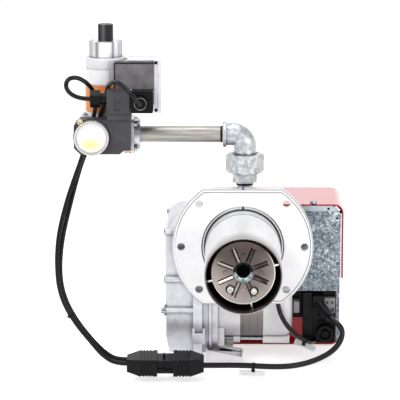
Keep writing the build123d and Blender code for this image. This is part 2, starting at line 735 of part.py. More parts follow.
with BuildSketch() as blade:
    with BuildLine():
        ThreePointArc((blade_root, 0), ((blade_root + blade_tip) / 2, blade_sag), (blade_tip, 1.5))
        Line((blade_tip, 1.5), (blade_tip, 1.5 + blade_t))
        ThreePointArc((blade_tip, 1.5 + blade_t), ((blade_root + blade_tip) / 2, blade_sag + blade_t),
                      (blade_root, blade_t))
        Line((blade_root, blade_t), (blade_root, 0))
    make_face()

with BuildPart() as fan_wheel:
    bar_x(fan_x0, fan_x0 + 2, motor_y, motor_z, fan_r)
    bar_x(fan_x0, fan_x0 + 26, motor_y, motor_z, 13)
    with BuildSketch(side(fan_x1 - 3)):
        with Locations((motor_y, motor_z)):
            Circle(fan_r)
            Circle(blade_root - 1, mode=Mode.SUBTRACT)
    extrude(amount=2)
    with BuildSketch(side(fan_x0 + 1)):
        with Locations((motor_y, motor_z)):
            with PolarLocations(0, fan_blades):
                add(blade.sketch)
    extrude(amount=fan_x1 - 2 - (fan_x0 + 1))
    bar_x(fan_x0 - 1, fan_x0 + 27, motor_y, motor_z, shaft_d / 2 + fit, Mode.SUBTRACT)
fan_wheel.part.label = "fan_wheel"
export_step(fan_wheel.part, "parts/fan_wheel.step")

# bracket that bridges the lower front of the volute joint
foot_x0, foot_x1, foot_z0 = volute_joint - 6.9, volute_joint + 9.8, volute_bottom + 29.5
with BuildPart() as support_bracket:
    with BuildSketch(facing(40)):
        Polygon((foot_x0, foot_z0), (foot_x1, foot_z0), (foot_x1, foot_z0 + 22), (foot_x1 - 3, foot_z0 + 22),
                (foot_x1 - 3, foot_z0 + 15), (foot_x0 + 3, foot_z0 + 15), (foot_x0 + 3, foot_z0 + 22),
                (foot_x0, foot_z0 + 22), align=None)
    extrude(amount=25)
    scroll(-70, -45, band + seat, Mode.SUBTRACT)
support_bracket.part.label = "support_bracket"
export_step(support_bracket.part, "parts/support_bracket.step")

# ---------------------------------------------------------------- panel and cover
plate_y = chamber_back                     # the plate lies on the back of the chamber's lugs
plate_top = hood_top - hood_t - 0.2
plate_corner = 10.0
side_strip_bottom = -143.0
base_y0 = plate_y + 9.0
base_y1 = base_y0 + 30.0
box_y1 = 174.0
base_x0, base_x1 = 82.0, 126.0
base_bottom = -148.0
plate_foot_x = 70.0
base_screw_points = [(x, z) for x in (base_x0 + 8, base_x1 - 14) for z in (30.0, -55.0)]
hood_screw_x, hood_screw_y = 95.0, hood_front + 6.0

with BuildPart() as mounting_plate:
    with BuildSketch(facing(plate_y + plate_t)):
        Polygon((plate_foot_x, plate_bottom), (plate_right, plate_bottom),
                (plate_right, plate_top - plate_corner), (plate_right - plate_corner, plate_top),
                (plate_left, plate_top), (plate_left, -32), (plate_foot_x, -32), align=None)
        with Locations(*panel_screw_points, *base_screw_points):
            Circle(2.6, mode=Mode.SUBTRACT)
        with Locations((plate_right - 4, plate_top - 17), (plate_right - 16, plate_top - 4)):
            Circle(1.6, mode=Mode.SUBTRACT)
    extrude(amount=plate_t)
    block(plate_left, plate_right - plate_corner, plate_y, plate_y + 14, plate_top - plate_t, plate_top)
    block(plate_foot_x, plate_right, plate_y, plate_y + 7, plate_bottom, plate_bottom + plate_t)
    block(plate_right - 4.6, plate_right, plate_y, plate_y + plate_t, side_strip_bottom, plate_bottom)
    with BuildSketch(side(plate_right - plate_t)):
        Polygon((plate_y, side_strip_bottom), (plate_y + 30, side_strip_bottom), (plate_y + 46, plate_bottom),
                (plate_y + 46, plate_top - plate_corner), (plate_y, plate_top - plate_corner), align=None)
    extrude(amount=plate_t)
    bar_z(plate_top - 5, plate_top + 1, hood_screw_x, hood_screw_y, 2.1, Mode.SUBTRACT)
mounting_plate.part.label = "mounting_plate"
export_step(mounting_plate.part, "parts/mounting_plate.step")

with BuildPart() as panel_screws:
    for x, z in panel_screw_points:
        bar_y(plate_y - 7, plate_y + plate_t, x, z, 2.4)
        bar_y(plate_y + plate_t, plate_y + plate_t + 3, x, z, 4.5)
    for x, z in base_screw_points:
        bar_y(plate_y, base_y0 + 5, x, z, 2.4)
        bar_y(plate_y - 2.4, plate_y, x, z, 4.5)
    # the cover's screw on top
    bar_z(plate_top - 8, hood_top + 0.2, hood_screw_x, hood_screw_y, 2)
    bar_z(hood_top + 0.2, hood_top + 3.4, hood_screw_x, hood_screw_y, 4.5)
    block(hood_screw_x - 5, hood_screw_x + 5, hood_screw_y - 0.6, hood_screw_y + 0.6, hood_top + 2, hood_top + 4,
          Mode.SUBTRACT)
panel_screws.part.label = "panel_screws"
export_step(panel_screws.part, "parts/panel_screws.step")

button_x, button_z, button_r = 97.0, -25.0, 7.0
button_travel = 3.0

with BuildPart() as control_base:
    block(base_x0, base_x1, base_y0, base_y1, base_bottom, 36)
    fillet(control_base.edges().filter_by(Axis.Y), 3)
    for x, z in base_screw_points:
        bar_y(plate_y + plate_t, base_y0, x, z, 5)
        bar_y(plate_y, base_y0 + 6, x, z, 2.5, Mode.SUBTRACT)
    # guide bar and ribs of the plug field under the plate
    block(base_x0, base_x0 + 12.4, base_y0 - 8, base_y0 + 1, base_bottom + 12, plate_bottom - 3)
    for z in (base_bottom + 0.5, -119, -111):
        block(base_x0 + 21, base_x1 - 3, base_y0 - 4, base_y0 + 1, z, z + 2)
control_base.part.label = "control_base"
export_step(control_base.part, "parts/control_base.step")

with BuildPart() as control_box:
    block(base_x0 + 1, base_x1 - 1, base_y1, box_y1, -76, 34)
    fillet(control_box.edges().filter_by(Axis.Y), 4)
    bar_y(base_y1 + 40, box_y1 + 1, button_x, button_z, button_r - 1 + fit, Mode.SUBTRACT)
control_box.part.label = "control_box"
export_step(control_box.part, "parts/control_box.step")

with BuildPart() as reset_button:
    bar_y(base_y1 + 44, hood_back - 1, button_x, button_z, button_r - 1)
    bar_y(box_y1 + button_travel + 0.3, hood_back + 3, button_x, button_z, button_r)
    fillet(reset_button.faces().sort_by(Axis.Y)[-1].edges(), 1.5)
reset_button.part.label = "reset_button"
export_step(reset_button.part, "parts/reset_button.step")

plug_x, plug_z = 104.0, -91.0
relief_start = Vector(plug_x - 1.5, base_y0 - 16, plug_z - 0.5)
relief_end = Vector(117.5, 36, -104)
relief_out = relief_end + (relief_end - relief_start) * 0.3       # the lead leaves in line with the relief

with BuildPart() as burner_plug:
    block(plug_x - 9, plug_x + 6.5, base_y0 - 20, base_y0 - 0.1, plug_z - 12, plug_z + 12)
    fillet(burner_plug.edges().filter_by(Axis.Y), 2.5)
    with BuildSketch(Plane(origin=relief_start, z_dir=relief_end - relief_start)):
        Circle(8.2)
    extrude(amount=(relief_end - relief_start).length, taper=4.5)
burner_plug.part.label = "burner_plug"
export_step(burner_plug.part, "parts/burner_plug.step")

with BuildPart() as terminal_block:
    block(base_x1 - 15.2, base_x1 - 1, base_y0 - 10, base_y0 - 0.1, -104, -84)
    for x in (base_x1 - 11.6, base_x1 - 4.6):
        bar_y(base_y0 - 11, base_y0 - 8, x, -90, 2, Mode.SUBTRACT)
        block(x - 2.5, x + 2.5, base_y0 - 11, base_y0 - 6, -103, -97, Mode.SUBTRACT)
terminal_block.part.label = "terminal_block"
export_step(terminal_block.part, "parts/terminal_block.step")

with BuildPart() as sensor_socket:
    bar_y(base_y0 - 14, base_y0 - 0.1, 112, base_bottom + 15, 11)
    bar_y(base_y0 - 14.5, base_y0 - 8, 112, base_bottom + 15, 8, Mode.SUBTRACT)
    bar_y(base_y0 - 16, base_y0 - 7, 112, base_bottom + 15, 4.4)
sensor_socket.part.label = "sensor_socket"
export_step(sensor_socket.part, "parts/sensor_socket.step")


def hood_section(inset, x0):
    """Cover outline seen from the front, open to the left, with round right corners."""
    with BuildSketch(facing(hood_back - inset)) as section:
        with BuildLine():
            FilletPolyline((x0, hood_top - inset), (hood_right - inset, hood_top - inset),
                           (hood_right - inset, hood_floor + inset), (x0, hood_floor + inset),
                           radius=hood_corner - inset)
            Line((x0, hood_floor + inset), (x0, hood_top - inset))
        make_face()
    return section.sketch


with BuildPart() as cover_hood:
    extrude(hood_section(0, hood_left), amount=hood_back - hood_front)
    extrude(hood_section(hood_t, hood_left - 1), amount=hood_back - hood_front, mode=Mode.SUBTRACT)
    block(hood_left - 5, hood_right + 5, hood_front - 5, hood_lip_y, hood_floor - 5, hood_cut_z, Mode.SUBTRACT)
    bar_y(hood_back - 5, hood_back + 1, button_x, button_z, button_r + 1, Mode.SUBTRACT)
    bar_z(hood_top - 3, hood_top + 1, hood_screw_x, hood_screw_y, 2.4, Mode.SUBTRACT)
    block(hood_screw_x - 2.4, hood_screw_x + 2.4, hood_front - 1, hood_screw_y, hood_top - 3, hood_top + 1,
          Mode.SUBTRACT)
    # cooling slots low in the rear wall
    with BuildSketch(facing(hood_back + 1)):
        with Locations((12, motor_z)):
            with GridLocations(12, 0, 6, 1):
                SlotOverall(46, 4, rotation=90)
    extrude(amount=hood_t + 4, mode=Mode.SUBTRACT)
cover_hood.part.label = "cover_hood"
export_step(cover_hood.part, "parts/cover_hood.step")

capacitor_r, capacitor_y, capacitor_z = 14.0, motor_y - 2, motor_z + motor_r + 22.0

with BuildPart() as motor_capacitor:
    bar_x(-6, 52, capacitor_y, capacitor_z, capacitor_r)
    bar_x(52, 57, capacitor_y, capacitor_z, 9)
    block(4, 24, capacitor_y - 9, capacitor_y + 9, motor_z, capacitor_z)
    bar_x(0, 30, motor_y, motor_z, motor_r + seat, Mode.SUBTRACT)
motor_capacitor.part.label = "motor_capacitor"
export_step(motor_capacitor.part, "parts/motor_capacitor.step")

# ---------------------------------------------------------------- gas pipework
hex_z0 = boss_top + 9.0
tail_z0, tail_z1 = union_z0 + 3.5, union_z0 + 9.5
elbow_end = inlet_x - 29.5

with BuildPart() as gas_nipple:
    bar_z(boss_top - 12, hex_z0, inlet_x, train_y, thread_d / 2)
    with BuildSketch(level(hex_z0)):
        with Locations((inlet_x, train_y)):
            RegularPolygon(nipple_af / 2, 6, major_radius=False, rotation=8)
    extrude(amount=union_z0 - 0.5 - hex_z0)
    chamfer(gas_nipple.edges().filter_by(GeomType.LINE).group_by(Axis.Z)[-1], 0.8)
    bar_z(union_z0 - 1, tail_z0, inlet_x, train_y, thread_d / 2)
    bar_z(tail_z0, tail_z1, inlet_x, train_y, elbow_bead_d / 2)
    bar_z(boss_top - 13, tail_z1 + 1, inlet_x, train_y, pipe_bore / 2, Mode.SUBTRACT)
gas_nipple.part.label = "gas_nipple"
export_step(gas_nipple.part, "parts/gas_nipple.step")

with BuildPart() as union_nut:
    with BuildSketch(level(union_z0)):
        with Locations((inlet_x, train_y)):
            RegularPolygon(union_af / 2, 6, major_radius=False, rotation=8)
    extrude(amount=union_z1 - union_z0)
    # the corners are turned off at both ends
    with BuildSketch(Plane.XZ.offset(-train_y)):
        with BuildLine():
            Polyline((inlet_x, union_z0), (inlet_x + union_af / 2, union_z0),
                     (inlet_x + union_af / 2 + 4, union_z0 + 2.4), (inlet_x + union_af / 2 + 4, union_z1 - 2.4),
                     (inlet_x + union_af / 2, union_z1), (inlet_x, union_z1), close=True)
        make_face()
    revolve(axis=Axis((inlet_x, train_y, 0), (0, 0, 1)), mode=Mode.INTERSECT)
    bar_z(union_z0 - 1, union_z1, inlet_x, train_y, thread_d / 2 + seat, Mode.SUBTRACT)
    bar_z(tail_z0, union_z1 + 1, inlet_x, train_y, elbow_bead_d / 2 + 0.1, Mode.SUBTRACT)
union_nut.part.label = "union_nut"
export_step(union_nut.part, "parts/union_nut.step")

elbow_route = [(inlet_x, train_y, tail_z1), (inlet_x, train_y, pipe_z), (elbow_end, train_y, pipe_z)]
pipe_in_elbow = elbow_end + 14.0

with BuildPart() as gas_elbow:
    with BuildLine() as elbow_path:
        FilletPolyline(*elbow_route, radius=16)
    with BuildSketch(level(tail_z1)):
        with Locations((inlet_x, train_y)):
            Circle(elbow_d / 2)
    sweep()
    bar_z(tail_z1, union_z1 - 0.5, inlet_x, train_y, elbow_bead_d / 2)
    bar_x(elbow_end, elbow_end + 5, train_y, pipe_z, elbow_bead_d / 2)
    fillet(gas_elbow.edges().filter_by(GeomType.CIRCLE).sort_by(Axis.X)[0], 1.2)
    with BuildLine():
        FilletPolyline((inlet_x, train_y, tail_z1 - 1), *elbow_route[1:-1], (elbow_end - 1, train_y, pipe_z),
                       radius=16)
    with BuildSketch(level(tail_z1 - 1)):
        with Locations((inlet_x, train_y)):
            Circle(pipe_bore / 2)
    sweep(mode=Mode.SUBTRACT)
    bar_x(elbow_end - 1, pipe_in_elbow, train_y, pipe_z, pipe_d / 2 + 0.1, Mode.SUBTRACT)
gas_elbow.part.label = "gas_elbow"
export_step(gas_elbow.part, "parts/gas_elbow.step")

with BuildPart() as gas_pipe:
    bar_x(valve_right, pipe_in_elbow - 0.1, train_y, pipe_z, pipe_d / 2)
    bar_x(valve_right - 1, pipe_in_elbow, train_y, pipe_z, pipe_bore / 2, Mode.SUBTRACT)
    # run-out of the thread in front of the elbow
    with BuildSketch(side(elbow_end - 3.4)):
        with Locations((train_y, pipe_z)):
            Circle(pipe_d)
            Circle(pipe_d / 2 - 0.9, mode=Mode.SUBTRACT)
    extrude(amount=3.2, mode=Mode.SUBTRACT)
gas_pipe.part.label = "gas_pipe"
export_step(gas_pipe.part, "parts/gas_pipe.step")

# ---------------------------------------------------------------- gas valve
valve_z = (valve_bottom + valve_top) / 2
flange_bolt = 16.5
flange_bolt_points = [(train_y + i * flange_bolt, pipe_z + j * flange_bolt) for i in (-1, 1) for j in (-1, 1)]
outlet_plate_x = valve_right + 4.0

with BuildPart() as outlet_flange:
    with BuildSketch(side(valve_right)):
        with Locations((train_y, pipe_z)):
            RectangleRounded(46, 46, 5)
    extrude(amount=outlet_plate_x - valve_right)
    bar_x(outlet_plate_x, outlet_x, train_y, pipe_z, 20.5)
    bar_x(valve_right - 1, outlet_x + 1, train_y, pipe_z, pipe_d / 2 + 0.1, Mode.SUBTRACT)
    for y, z in flange_bolt_points:
        bar_x(valve_right - 1, outlet_plate_x + 1, y, z, 2.6, Mode.SUBTRACT)
        bar_x(outlet_plate_x, outlet_x + 1, y, z, 5.0, Mode.SUBTRACT)
outlet_flange.part.label = "outlet_flange"
export_step(outlet_flange.part, "parts/outlet_flange.step")

with BuildPart() as flange_screws:
    for y, z in flange_bolt_points:
        bar_x(valve_right - 8, outlet_plate_x, y, z, 2.4)
        bar_x(outlet_plate_x, outlet_plate_x + 4.5, y, z, 4.2)
        with BuildSketch(side(outlet_plate_x + 2.5)):
            with Locations((y, z)):
                RegularPolygon(2.3, 6)
        extrude(amount=3, mode=Mode.SUBTRACT)
flange_screws.part.label = "flange_screws"
export_step(flange_screws.part, "parts/flange_screws.step")

gas_thread_bore = 18.9

with BuildPart() as valve_body:
    block(valve_left + 6, valve_right, valve_front, valve_back, valve_bottom, valve_top)
    fillet(valve_body.edges().filter_by(Axis.X), 3)
    bar_x(valve_left, valve_left + 8, train_y, pipe_z, 17)
    with BuildSketch(side(valve_left)):
        with Locations((train_y, pipe_z)):
            RegularPolygon(18, 8, major_radius=False, rotation=22.5)
    extrude(amount=7)
    bar_z(valve_top - 1, valve_top + 5, tower_x, tower_y, tower_d / 2 - 2.5)
    bar_x(valve_left - 1, valve_left + 17, train_y, pipe_z, gas_thread_bore / 2, Mode.SUBTRACT)
    bar_x(valve_right - 14, valve_right + 1, train_y, pipe_z, pipe_bore / 2, Mode.SUBTRACT)
    # neck that the pressure switch is screwed to
    bar_y(switch_back, valve_front + 1, valve_right - 14, valve_z - 3.5, 8)
    for y, z in flange_bolt_points:
        bar_x(valve_right - 9, valve_right + 1, y, z, 2.5, Mode.SUBTRACT)
valve_body.part.label = "valve_body"
export_step(valve_body.part, "parts/valve_body.step")

tower_base = valve_top + 5.0
boss_x = tower_x + tower_d / 2 + 4.0

with BuildPart() as regulator_housing:
    bar_z(tower_base, tower_top, tower_x, tower_y, tower_d / 2)
    fillet(regulator_housing.edges().filter_by(GeomType.CIRCLE).sort_by(Axis.Z)[-1], 1.5)
    block(tower_x + 18, boss_x, tower_y - 14, tower_y + 14, coil_bottom + 2, coil_top - 2)
    with BuildSketch(level(tower_top - 14)):
        with Locations((tower_x, tower_y)):
            Circle(tower_d / 2 + 1)
            Circle(tower_d / 2 - 0.4, mode=Mode.SUBTRACT)
    extrude(amount=1, mode=Mode.SUBTRACT)
regulator_housing.part.label = "regulator_housing"
export_step(regulator_housing.part, "parts/regulator_housing.step")

with BuildPart() as regulator_bonnet:
    with BuildSketch(level(tower_top)):
        with Locations((tower_x, tower_y)):
            RegularPolygon(bonnet_d / 2, 8, major_radius=False, rotation=10)
    extrude(amount=bonnet_top - tower_top)
    fillet(regulator_bonnet.edges().filter_by(Axis.Z), 2.5)
    bar_z(bonnet_top - 6, bonnet_top + 1, tower_x, tower_y, cap_d / 2 - 2 + fit, Mode.SUBTRACT)
regulator_bonnet.part.label = "regulator_bonnet"
export_step(regulator_bonnet.part, "parts/regulator_bonnet.step")

with BuildPart() as regulator_cap:
    with BuildSketch(level(bonnet_top)):
        with Locations((tower_x, tower_y)):
            Circle(cap_d / 2)
            with PolarLocations(cap_d / 2 + 0.35, 20):
                Circle(0.9, mode=Mode.SUBTRACT)
    extrude(amount=cap_top - bonnet_top)
    bar_z(bonnet_top - 5, bonnet_top + 1, tower_x, tower_y, cap_d / 2 - 2)
    chamfer(regulator_cap.faces().sort_by(Axis.Z)[-1].edges(), 0.6)
regulator_cap.part.label = "regulator_cap"
export_step(regulator_cap.part, "parts/regulator_cap.step")

sleeve_z0, sleeve_z1 = tower_base + 4.0, coil_bottom + 1.0

with BuildPart() as regulator_sleeve:
    bar_z(sleeve_z0, sleeve_z1, tower_x, tower_y, tower_d / 2 + 0.8)
    bar_z(sleeve_z0 - 1, sleeve_z1 + 1, tower_x, tower_y, tower_d / 2 + fit, Mode.SUBTRACT)
regulator_sleeve.part.label = "regulator_sleeve"
export_step(regulator_sleeve.part, "parts/regulator_sleeve.step")

coil_front = 4.0

with BuildPart() as solenoid_coil:
    block(boss_x + 1.6, coil_right, coil_front + 14, tower_y + 16, coil_bottom, coil_top)
    block(coil_left, coil_right, coil_front, coil_front + 15, coil_bottom, coil_top)
    fillet(solenoid_coil.edges().filter_by(Axis.Y).sort_by(Axis.X)[0:2], 1.5)
    bar_x(boss_x, coil_right + 1, tower_y - 2, (coil_bottom + coil_top) / 2, 7, Mode.SUBTRACT)
solenoid_coil.part.label = "solenoid_coil"
export_step(solenoid_coil.part, "parts/solenoid_coil.step")

with BuildPart() as coil_bracket:
    # U-shaped yoke: plate at the tower, plate on top, wide plate at the right
    block(boss_x, boss_x + 1.5, coil_front + 20, tower_y + 14, coil_bottom + 2, coil_top + 2)
    block(boss_x, coil_right + 2, coil_front + 8, coil_front + 34, coil_top + 0.3, coil_top + 2.3)
    block(coil_right + 0.2, coil_right + 2.2, coil_front + 4, tower_y + 14, coil_bottom - 32, coil_top + 2.3)
    block(coil_right + 2, coil_right + 10, coil_front + 4, coil_front + 6, coil_bottom - 32, coil_top + 2.3)
    block(coil_right + 5.5, coil_right + 10, coil_front + 2.5, coil_front + 4.5, coil_bottom - 30, coil_top)
    bar_x(boss_x + 1, coil_right + 4, tower_y - 2, (coil_bottom + coil_top) / 2, 6.5)
coil_bracket.part.label = "coil_bracket"
export_step(coil_bracket.part, "parts/coil_bracket.step")

plug2_x0, plug2_x1 = -146.8, -117.4
plug2_y0, plug2_y1 = -14.0, 12.0
plug2_z0, plug2_z1 = 181.0, coil_bottom - 0.2
gland2_x, gland2_z = -133.5, 195.0

with BuildPart() as coil_plug:
    block(plug2_x0, plug2_x1, plug2_y0, plug2_y1, plug2_z0, plug2_z1)
    fillet(coil_plug.edges().filter_by(Axis.Y), 2)
    block(plug2_x0 + 4, plug2_x1 - 0.4, plug2_y1, tower_y, plug2_z0 + 4, coil_bottom - 0.2)
coil_plug.part.label = "coil_plug"
export_step(coil_plug.part, "parts/coil_plug.step")

# ---------------------------------------------------------------- pressure switch
body_step = 8.0
dial_y0, dial_y1 = switch_front - 6.0, switch_front - 1.0
ring_x, ring_z, ring_r = window_x - 14.5, window_z + 20.5, 3.5

with BuildPart() as pressure_switch:
    with BuildSketch(facing(switch_back)):
        Polygon((switch_left, switch_bottom + body_step), (switch_left + body_step, switch_bottom),
                (switch_right - 14, switch_bottom), (switch_right - 9, switch_bottom + 5),
                (switch_right, switch_bottom + 5), (switch_right, switch_top),
                (switch_left + 8, switch_top), (switch_left, switch_top - 8), align=None)
    extrude(amount=switch_back - switch_front)
    fillet(pressure_switch.edges().filter_by(Axis.Y), 1)
    bar_y(switch_front - 1, switch_front, window_x, window_z, window_d / 2 + 1)
    bar_y(switch_front - 3, switch_front + 6, window_x, window_z, 4 + fit, Mode.SUBTRACT)
pressure_switch.part.label = "pressure_switch"
export_step(pressure_switch.part, "parts/pressure_switch.step")

with BuildPart() as switch_dial:
    bar_y(dial_y0, dial_y1 - 0.2, window_x, window_z, window_d / 2 - 2.4)
    bar_y(dial_y1 - 1, switch_front + 5, window_x, window_z, 4)
    block(window_x - 8, window_x + 8, dial_y0 - 2, dial_y0 + 1, window_z - 1.5, window_z + 1.5)
switch_dial.part.label = "switch_dial"
export_step(switch_dial.part, "parts/switch_dial.step")

with BuildPart() as switch_cover:
    bar_y(switch_front - window_depth, switch_front - 1, window_x, window_z, window_d / 2)
    fillet(switch_cover.faces().sort_by(Axis.Y)[0].edges(), 2.5)
    bar_y(switch_front - window_depth + 2, switch_front, window_x, window_z, window_d / 2 - 2, Mode.SUBTRACT)
    bar_y(switch_front - window_depth, switch_front, ring_x, ring_z, ring_r + 0.1, Mode.SUBTRACT)
switch_cover.part.label = "switch_cover"
export_step(switch_cover.part, "parts/switch_cover.step")

plug1_x0, plug1_x1 = -178.0, -147.5
plug1_y0, plug1_y1 = -17.0, 8.0
plug1_top = 210.0
gland1_y, gland1_z = (plug1_y0 + plug1_y1) / 2, 198.5

with BuildPart() as switch_plug:
    block(plug1_x0, plug1_x1, plug1_y0, plug1_y1, switch_top + 7, plug1_top)
    fillet(switch_plug.edges().filter_by(Axis.Z), 2)
    block(plug1_x0 + 1, plug1_x1 + 1.5, plug1_y0 - 1, plug1_y1 - 1, switch_top, switch_top + 7)
    block(plug1_x0 + 11, plug1_x0 + 18, plug1_y0 - 1, plug1_y0 + 0.8, 185, 198, Mode.SUBTRACT)
switch_plug.part.label = "switch_plug"
export_step(switch_plug.part, "parts/switch_plug.step")

gland1_end = -199.5
gland2_end = plug2_y0 - 11.0

with BuildPart() as cable_glands:
    bar_x(gland1_end + 13, plug1_x0, gland1_y, gland1_z, 7.5)
    with BuildSketch(side(gland1_end)):
        with Locations((gland1_y, gland1_z)):
            RegularPolygon(11.5, 6, rotation=30)
    extrude(amount=13)
    bar_y(plug2_y0 - 4, plug2_y0, gland2_x, gland2_z, 9)
    bar_y(gland2_end, plug2_y0 - 4, gland2_x, gland2_z, 7.2)
cable_glands.part.label = "cable_glands"
export_step(cable_glands.part, "parts/cable_glands.step")

with BuildPart() as test_nipples:
    bar_y(switch_front - 7, switch_front - 1, ring_x, ring_z, ring_r)
    bar_y(switch_front - 8, switch_front - 4, ring_x, ring_z, ring_r - 1.4, Mode.SUBTRACT)
    for x in (switch_right - 5.6, switch_right - 1.0):
        bar_y(switch_front + 3, switch_back - 4, x, switch_bottom + 2.7, 2.2)
        bar_y(switch_front + 2, switch_front + 6, x, switch_bottom + 2.7, 1.1, Mode.SUBTRACT)
test_nipples.part.label = "test_nipples"
export_step(test_nipples.part, "parts/test_nipples.step")

# ---------------------------------------------------------------- in-line connector
connector_y, connector_z = -22.0, -153.0
connector_tilt = 7.5
grip_depth, grip_height = 40.0, 23.5
nose_depth, nose_height = 30.0, 18.0
grip_end = (24.0, 17.0)                    # section at the lead's end
grip_straight, grip_taper, connector_gap = 22.8, 17.5, 21.2
connector_mid_x = -102.0


def connector_plane(x, direction):
    """Cross-section of the connector at x, looking along the direction (+1 right, -1 left)."""
    c, s = math.cos(math.radians(connector_tilt)), math.sin(math.radians(connector_tilt))
    return Plane(origin=(x, connector_y, connector_z), x_dir=(0, c, s), z_dir=(direction, 0, 0))


for name, direction in (("connector_plug", 1), ("connector_socket", -1)):
    grip_x = connector_mid_x - direction * connector_gap / 2
    rear_x = grip_x - direction * (grip_straight + grip_taper)
    with BuildPart() as connector:
        with BuildSketch(connector_plane(grip_x, -direction)):
            RectangleRounded(grip_depth, grip_height, 3)
        extrude(amount=grip_straight)
        with BuildSketch(connector_plane(rear_x, direction)):
            RectangleRounded(*grip_end, 3)
        with BuildSketch(connector_plane(rear_x + direction * grip_taper, direction)):
            RectangleRounded(grip_depth, grip_height, 3)
        loft()
        with BuildSketch(connector_plane(grip_x, direction)):
            RectangleRounded(nose_depth, nose_height, 2)
        extrude(amount=connector_gap / 2 - 0.1)
        for k in range(4):
            with BuildSketch(connector_plane(grip_x - direction * (6 + 4.4 * k), -direction)):
                RectangleRounded(grip_depth + 4, grip_height + 4, 3)
                RectangleRounded(grip_depth - 1.8, grip_height - 1.8, 2.5, mode=Mode.SUBTRACT)
            extrude(amount=1.8, mode=Mode.SUBTRACT)
        # groove along the front of the nose, and half of the latch on its top
        with BuildSketch(connector_plane(grip_x, direction)):
            with Locations((-nose_depth / 2, 1)):
                Rectangle(3, 5)
        extrude(amount=connector_gap / 2, mode=Mode.SUBTRACT)
        with BuildSketch(connector_plane(connector_mid_x - direction * 3.5, direction)):
            with Locations((2, nose_height / 2 + 1.5)):
                Rectangle(7, 5)
        extrude(amount=3.4)
    connector.part.label = name
    export_step(connector.part, f"parts/{name}.step")

plug_rear_x = connector_mid_x - connector_gap / 2 - grip_straight - grip_taper
socket_rear_x = 2 * connector_mid_x - plug_rear_x

# ---------------------------------------------------------------- leads
lead_routes = {
    "switch_lead": (lead_d, [
        (gland1_end, gland1_y, gland1_z), (gland1_end - 11, gland1_y, gland1_z), (-225, -5, 204), (-232, -5, 214.5),
        (-228.5, -4, 225), (-216.5, -1, 226.5), (-204, 5, 218), (-196, 12, 206), (-193, 17, 190),
        (-197, 17.5, 167), (-204.5, 17.5, 143), (-212, 14, 118), (-220.5, 8, 91), (-230.4, 3, 62),
        (-239, 0, 33), (-244.5, -3, 5.5), (-246, -6, -23.5), (-241.5, -9, -52.7), (-231, -12, -79),
        (-215.8, -15, -103), (-196.6, -19, -124), (-179, -23, -141), (-168, -25.5, -152.5),
        (plug_rear_x, -25.5, -152.5),
    ]),
    "coil_lead": (lead_d, [
        (gland2_x, gland2_end, gland2_z), (gland2_x, gland2_end - 8, gland2_z), (-141, -37, 205),
        (-151, -32, 216.5), (-161, -19, 222), (-171, -3.5, 220.5), (-177, 12, 213.5), (-180, 18, 198),
        (-184, 18, 179),
        (-189.5, 17.5, 159), (-197, 17.5, 138), (-205, 16, 116), (-214.5, 13, 90), (-222.9, 9, 61),
        (-229.6, 6, 32), (-236.3, 3, 4.2), (-241.1, 0, -25), (-237.9, -3, -52.7), (-228, -6, -76.5),
        (-211.5, -9, -100.3), (-191.6, -12, -120), (-176, -16, -135.5), (-167.5, -18.5, -148.5),
        (plug_rear_x, -18.5, -148.5),
    ]),
    "burner_lead": (burner_lead_d, [
        (socket_rear_x, connector_y, connector_z - 2.5), (-33, connector_y, connector_z - 2.5),
        (-11, -20, -155.8), (10, -17, -157.2), (32.6, -13, -159.5), (56.6, -8, -161), (79.4, -2, -159.5),
        (100.8, 4, -154), (120.5, 10, -144.5), (131.6, 15, -131.5), (134, 19, -119.5), (129.5, 23.5, -111.5),
        (relief_out.X, relief_out.Y, relief_out.Z), (relief_end.X, relief_end.Y, relief_end.Z),
    ]),
    "sensor_lead": (sensor_lead_d, [
        polar_point(chamber_r + 3, grommet_angle, grommet_y),
        polar_point(chamber_r + 11, grommet_angle, grommet_y), (46, 23.5, -60),
        (47, 20.5, -70.5), (47, 20.5, -82.5), (50.9, 22.5, -97.3), (58.4, 26.5, -112), (69.3, 31, -125.8),
        (79.5, 38.5, -134.5), (88.5, 47.5, -141), (95, 58, -144), (98, 68, -144), (98, base_y0, -144),
    ]),
}


def corner_radii(points):
    """Radius of each corner's arc: it takes 0.45 of the shorter run beside the corner."""
    radii = []
    for before, corner, after in zip(points, points[1:], points[2:]):
        into, out = Vector(*corner) - Vector(*before), Vector(*after) - Vector(*corner)
        half_turn = math.radians(into.get_angle(out)) / 2
        radii.append(0.45 * min(into.length, out.length) / math.tan(half_turn))
    return radii


for name, (diameter, points) in lead_routes.items():
    radii = corner_radii(points)
    with BuildPart() as lead:
        with BuildLine() as route:
            FilletPolyline(*points, radius=radii)
        with BuildSketch(Plane(origin=points[0], z_dir=Vector(*points[1]) - Vector(*points[0]))):
            Circle(diameter / 2)
        sweep()
    length = sum(edge.length for edge in route.edges())
    print(name, "length", round(length), "radii", [round(r) for r in radii],
          "volume ratio", round(lead.part.volume / (math.pi * diameter ** 2 / 4 * length), 4))
    lead.part.label = name
    export_step(lead.part, f"parts/{name}.step")
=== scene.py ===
import math

import bmesh
import bpy
from mathutils import Matrix, Vector


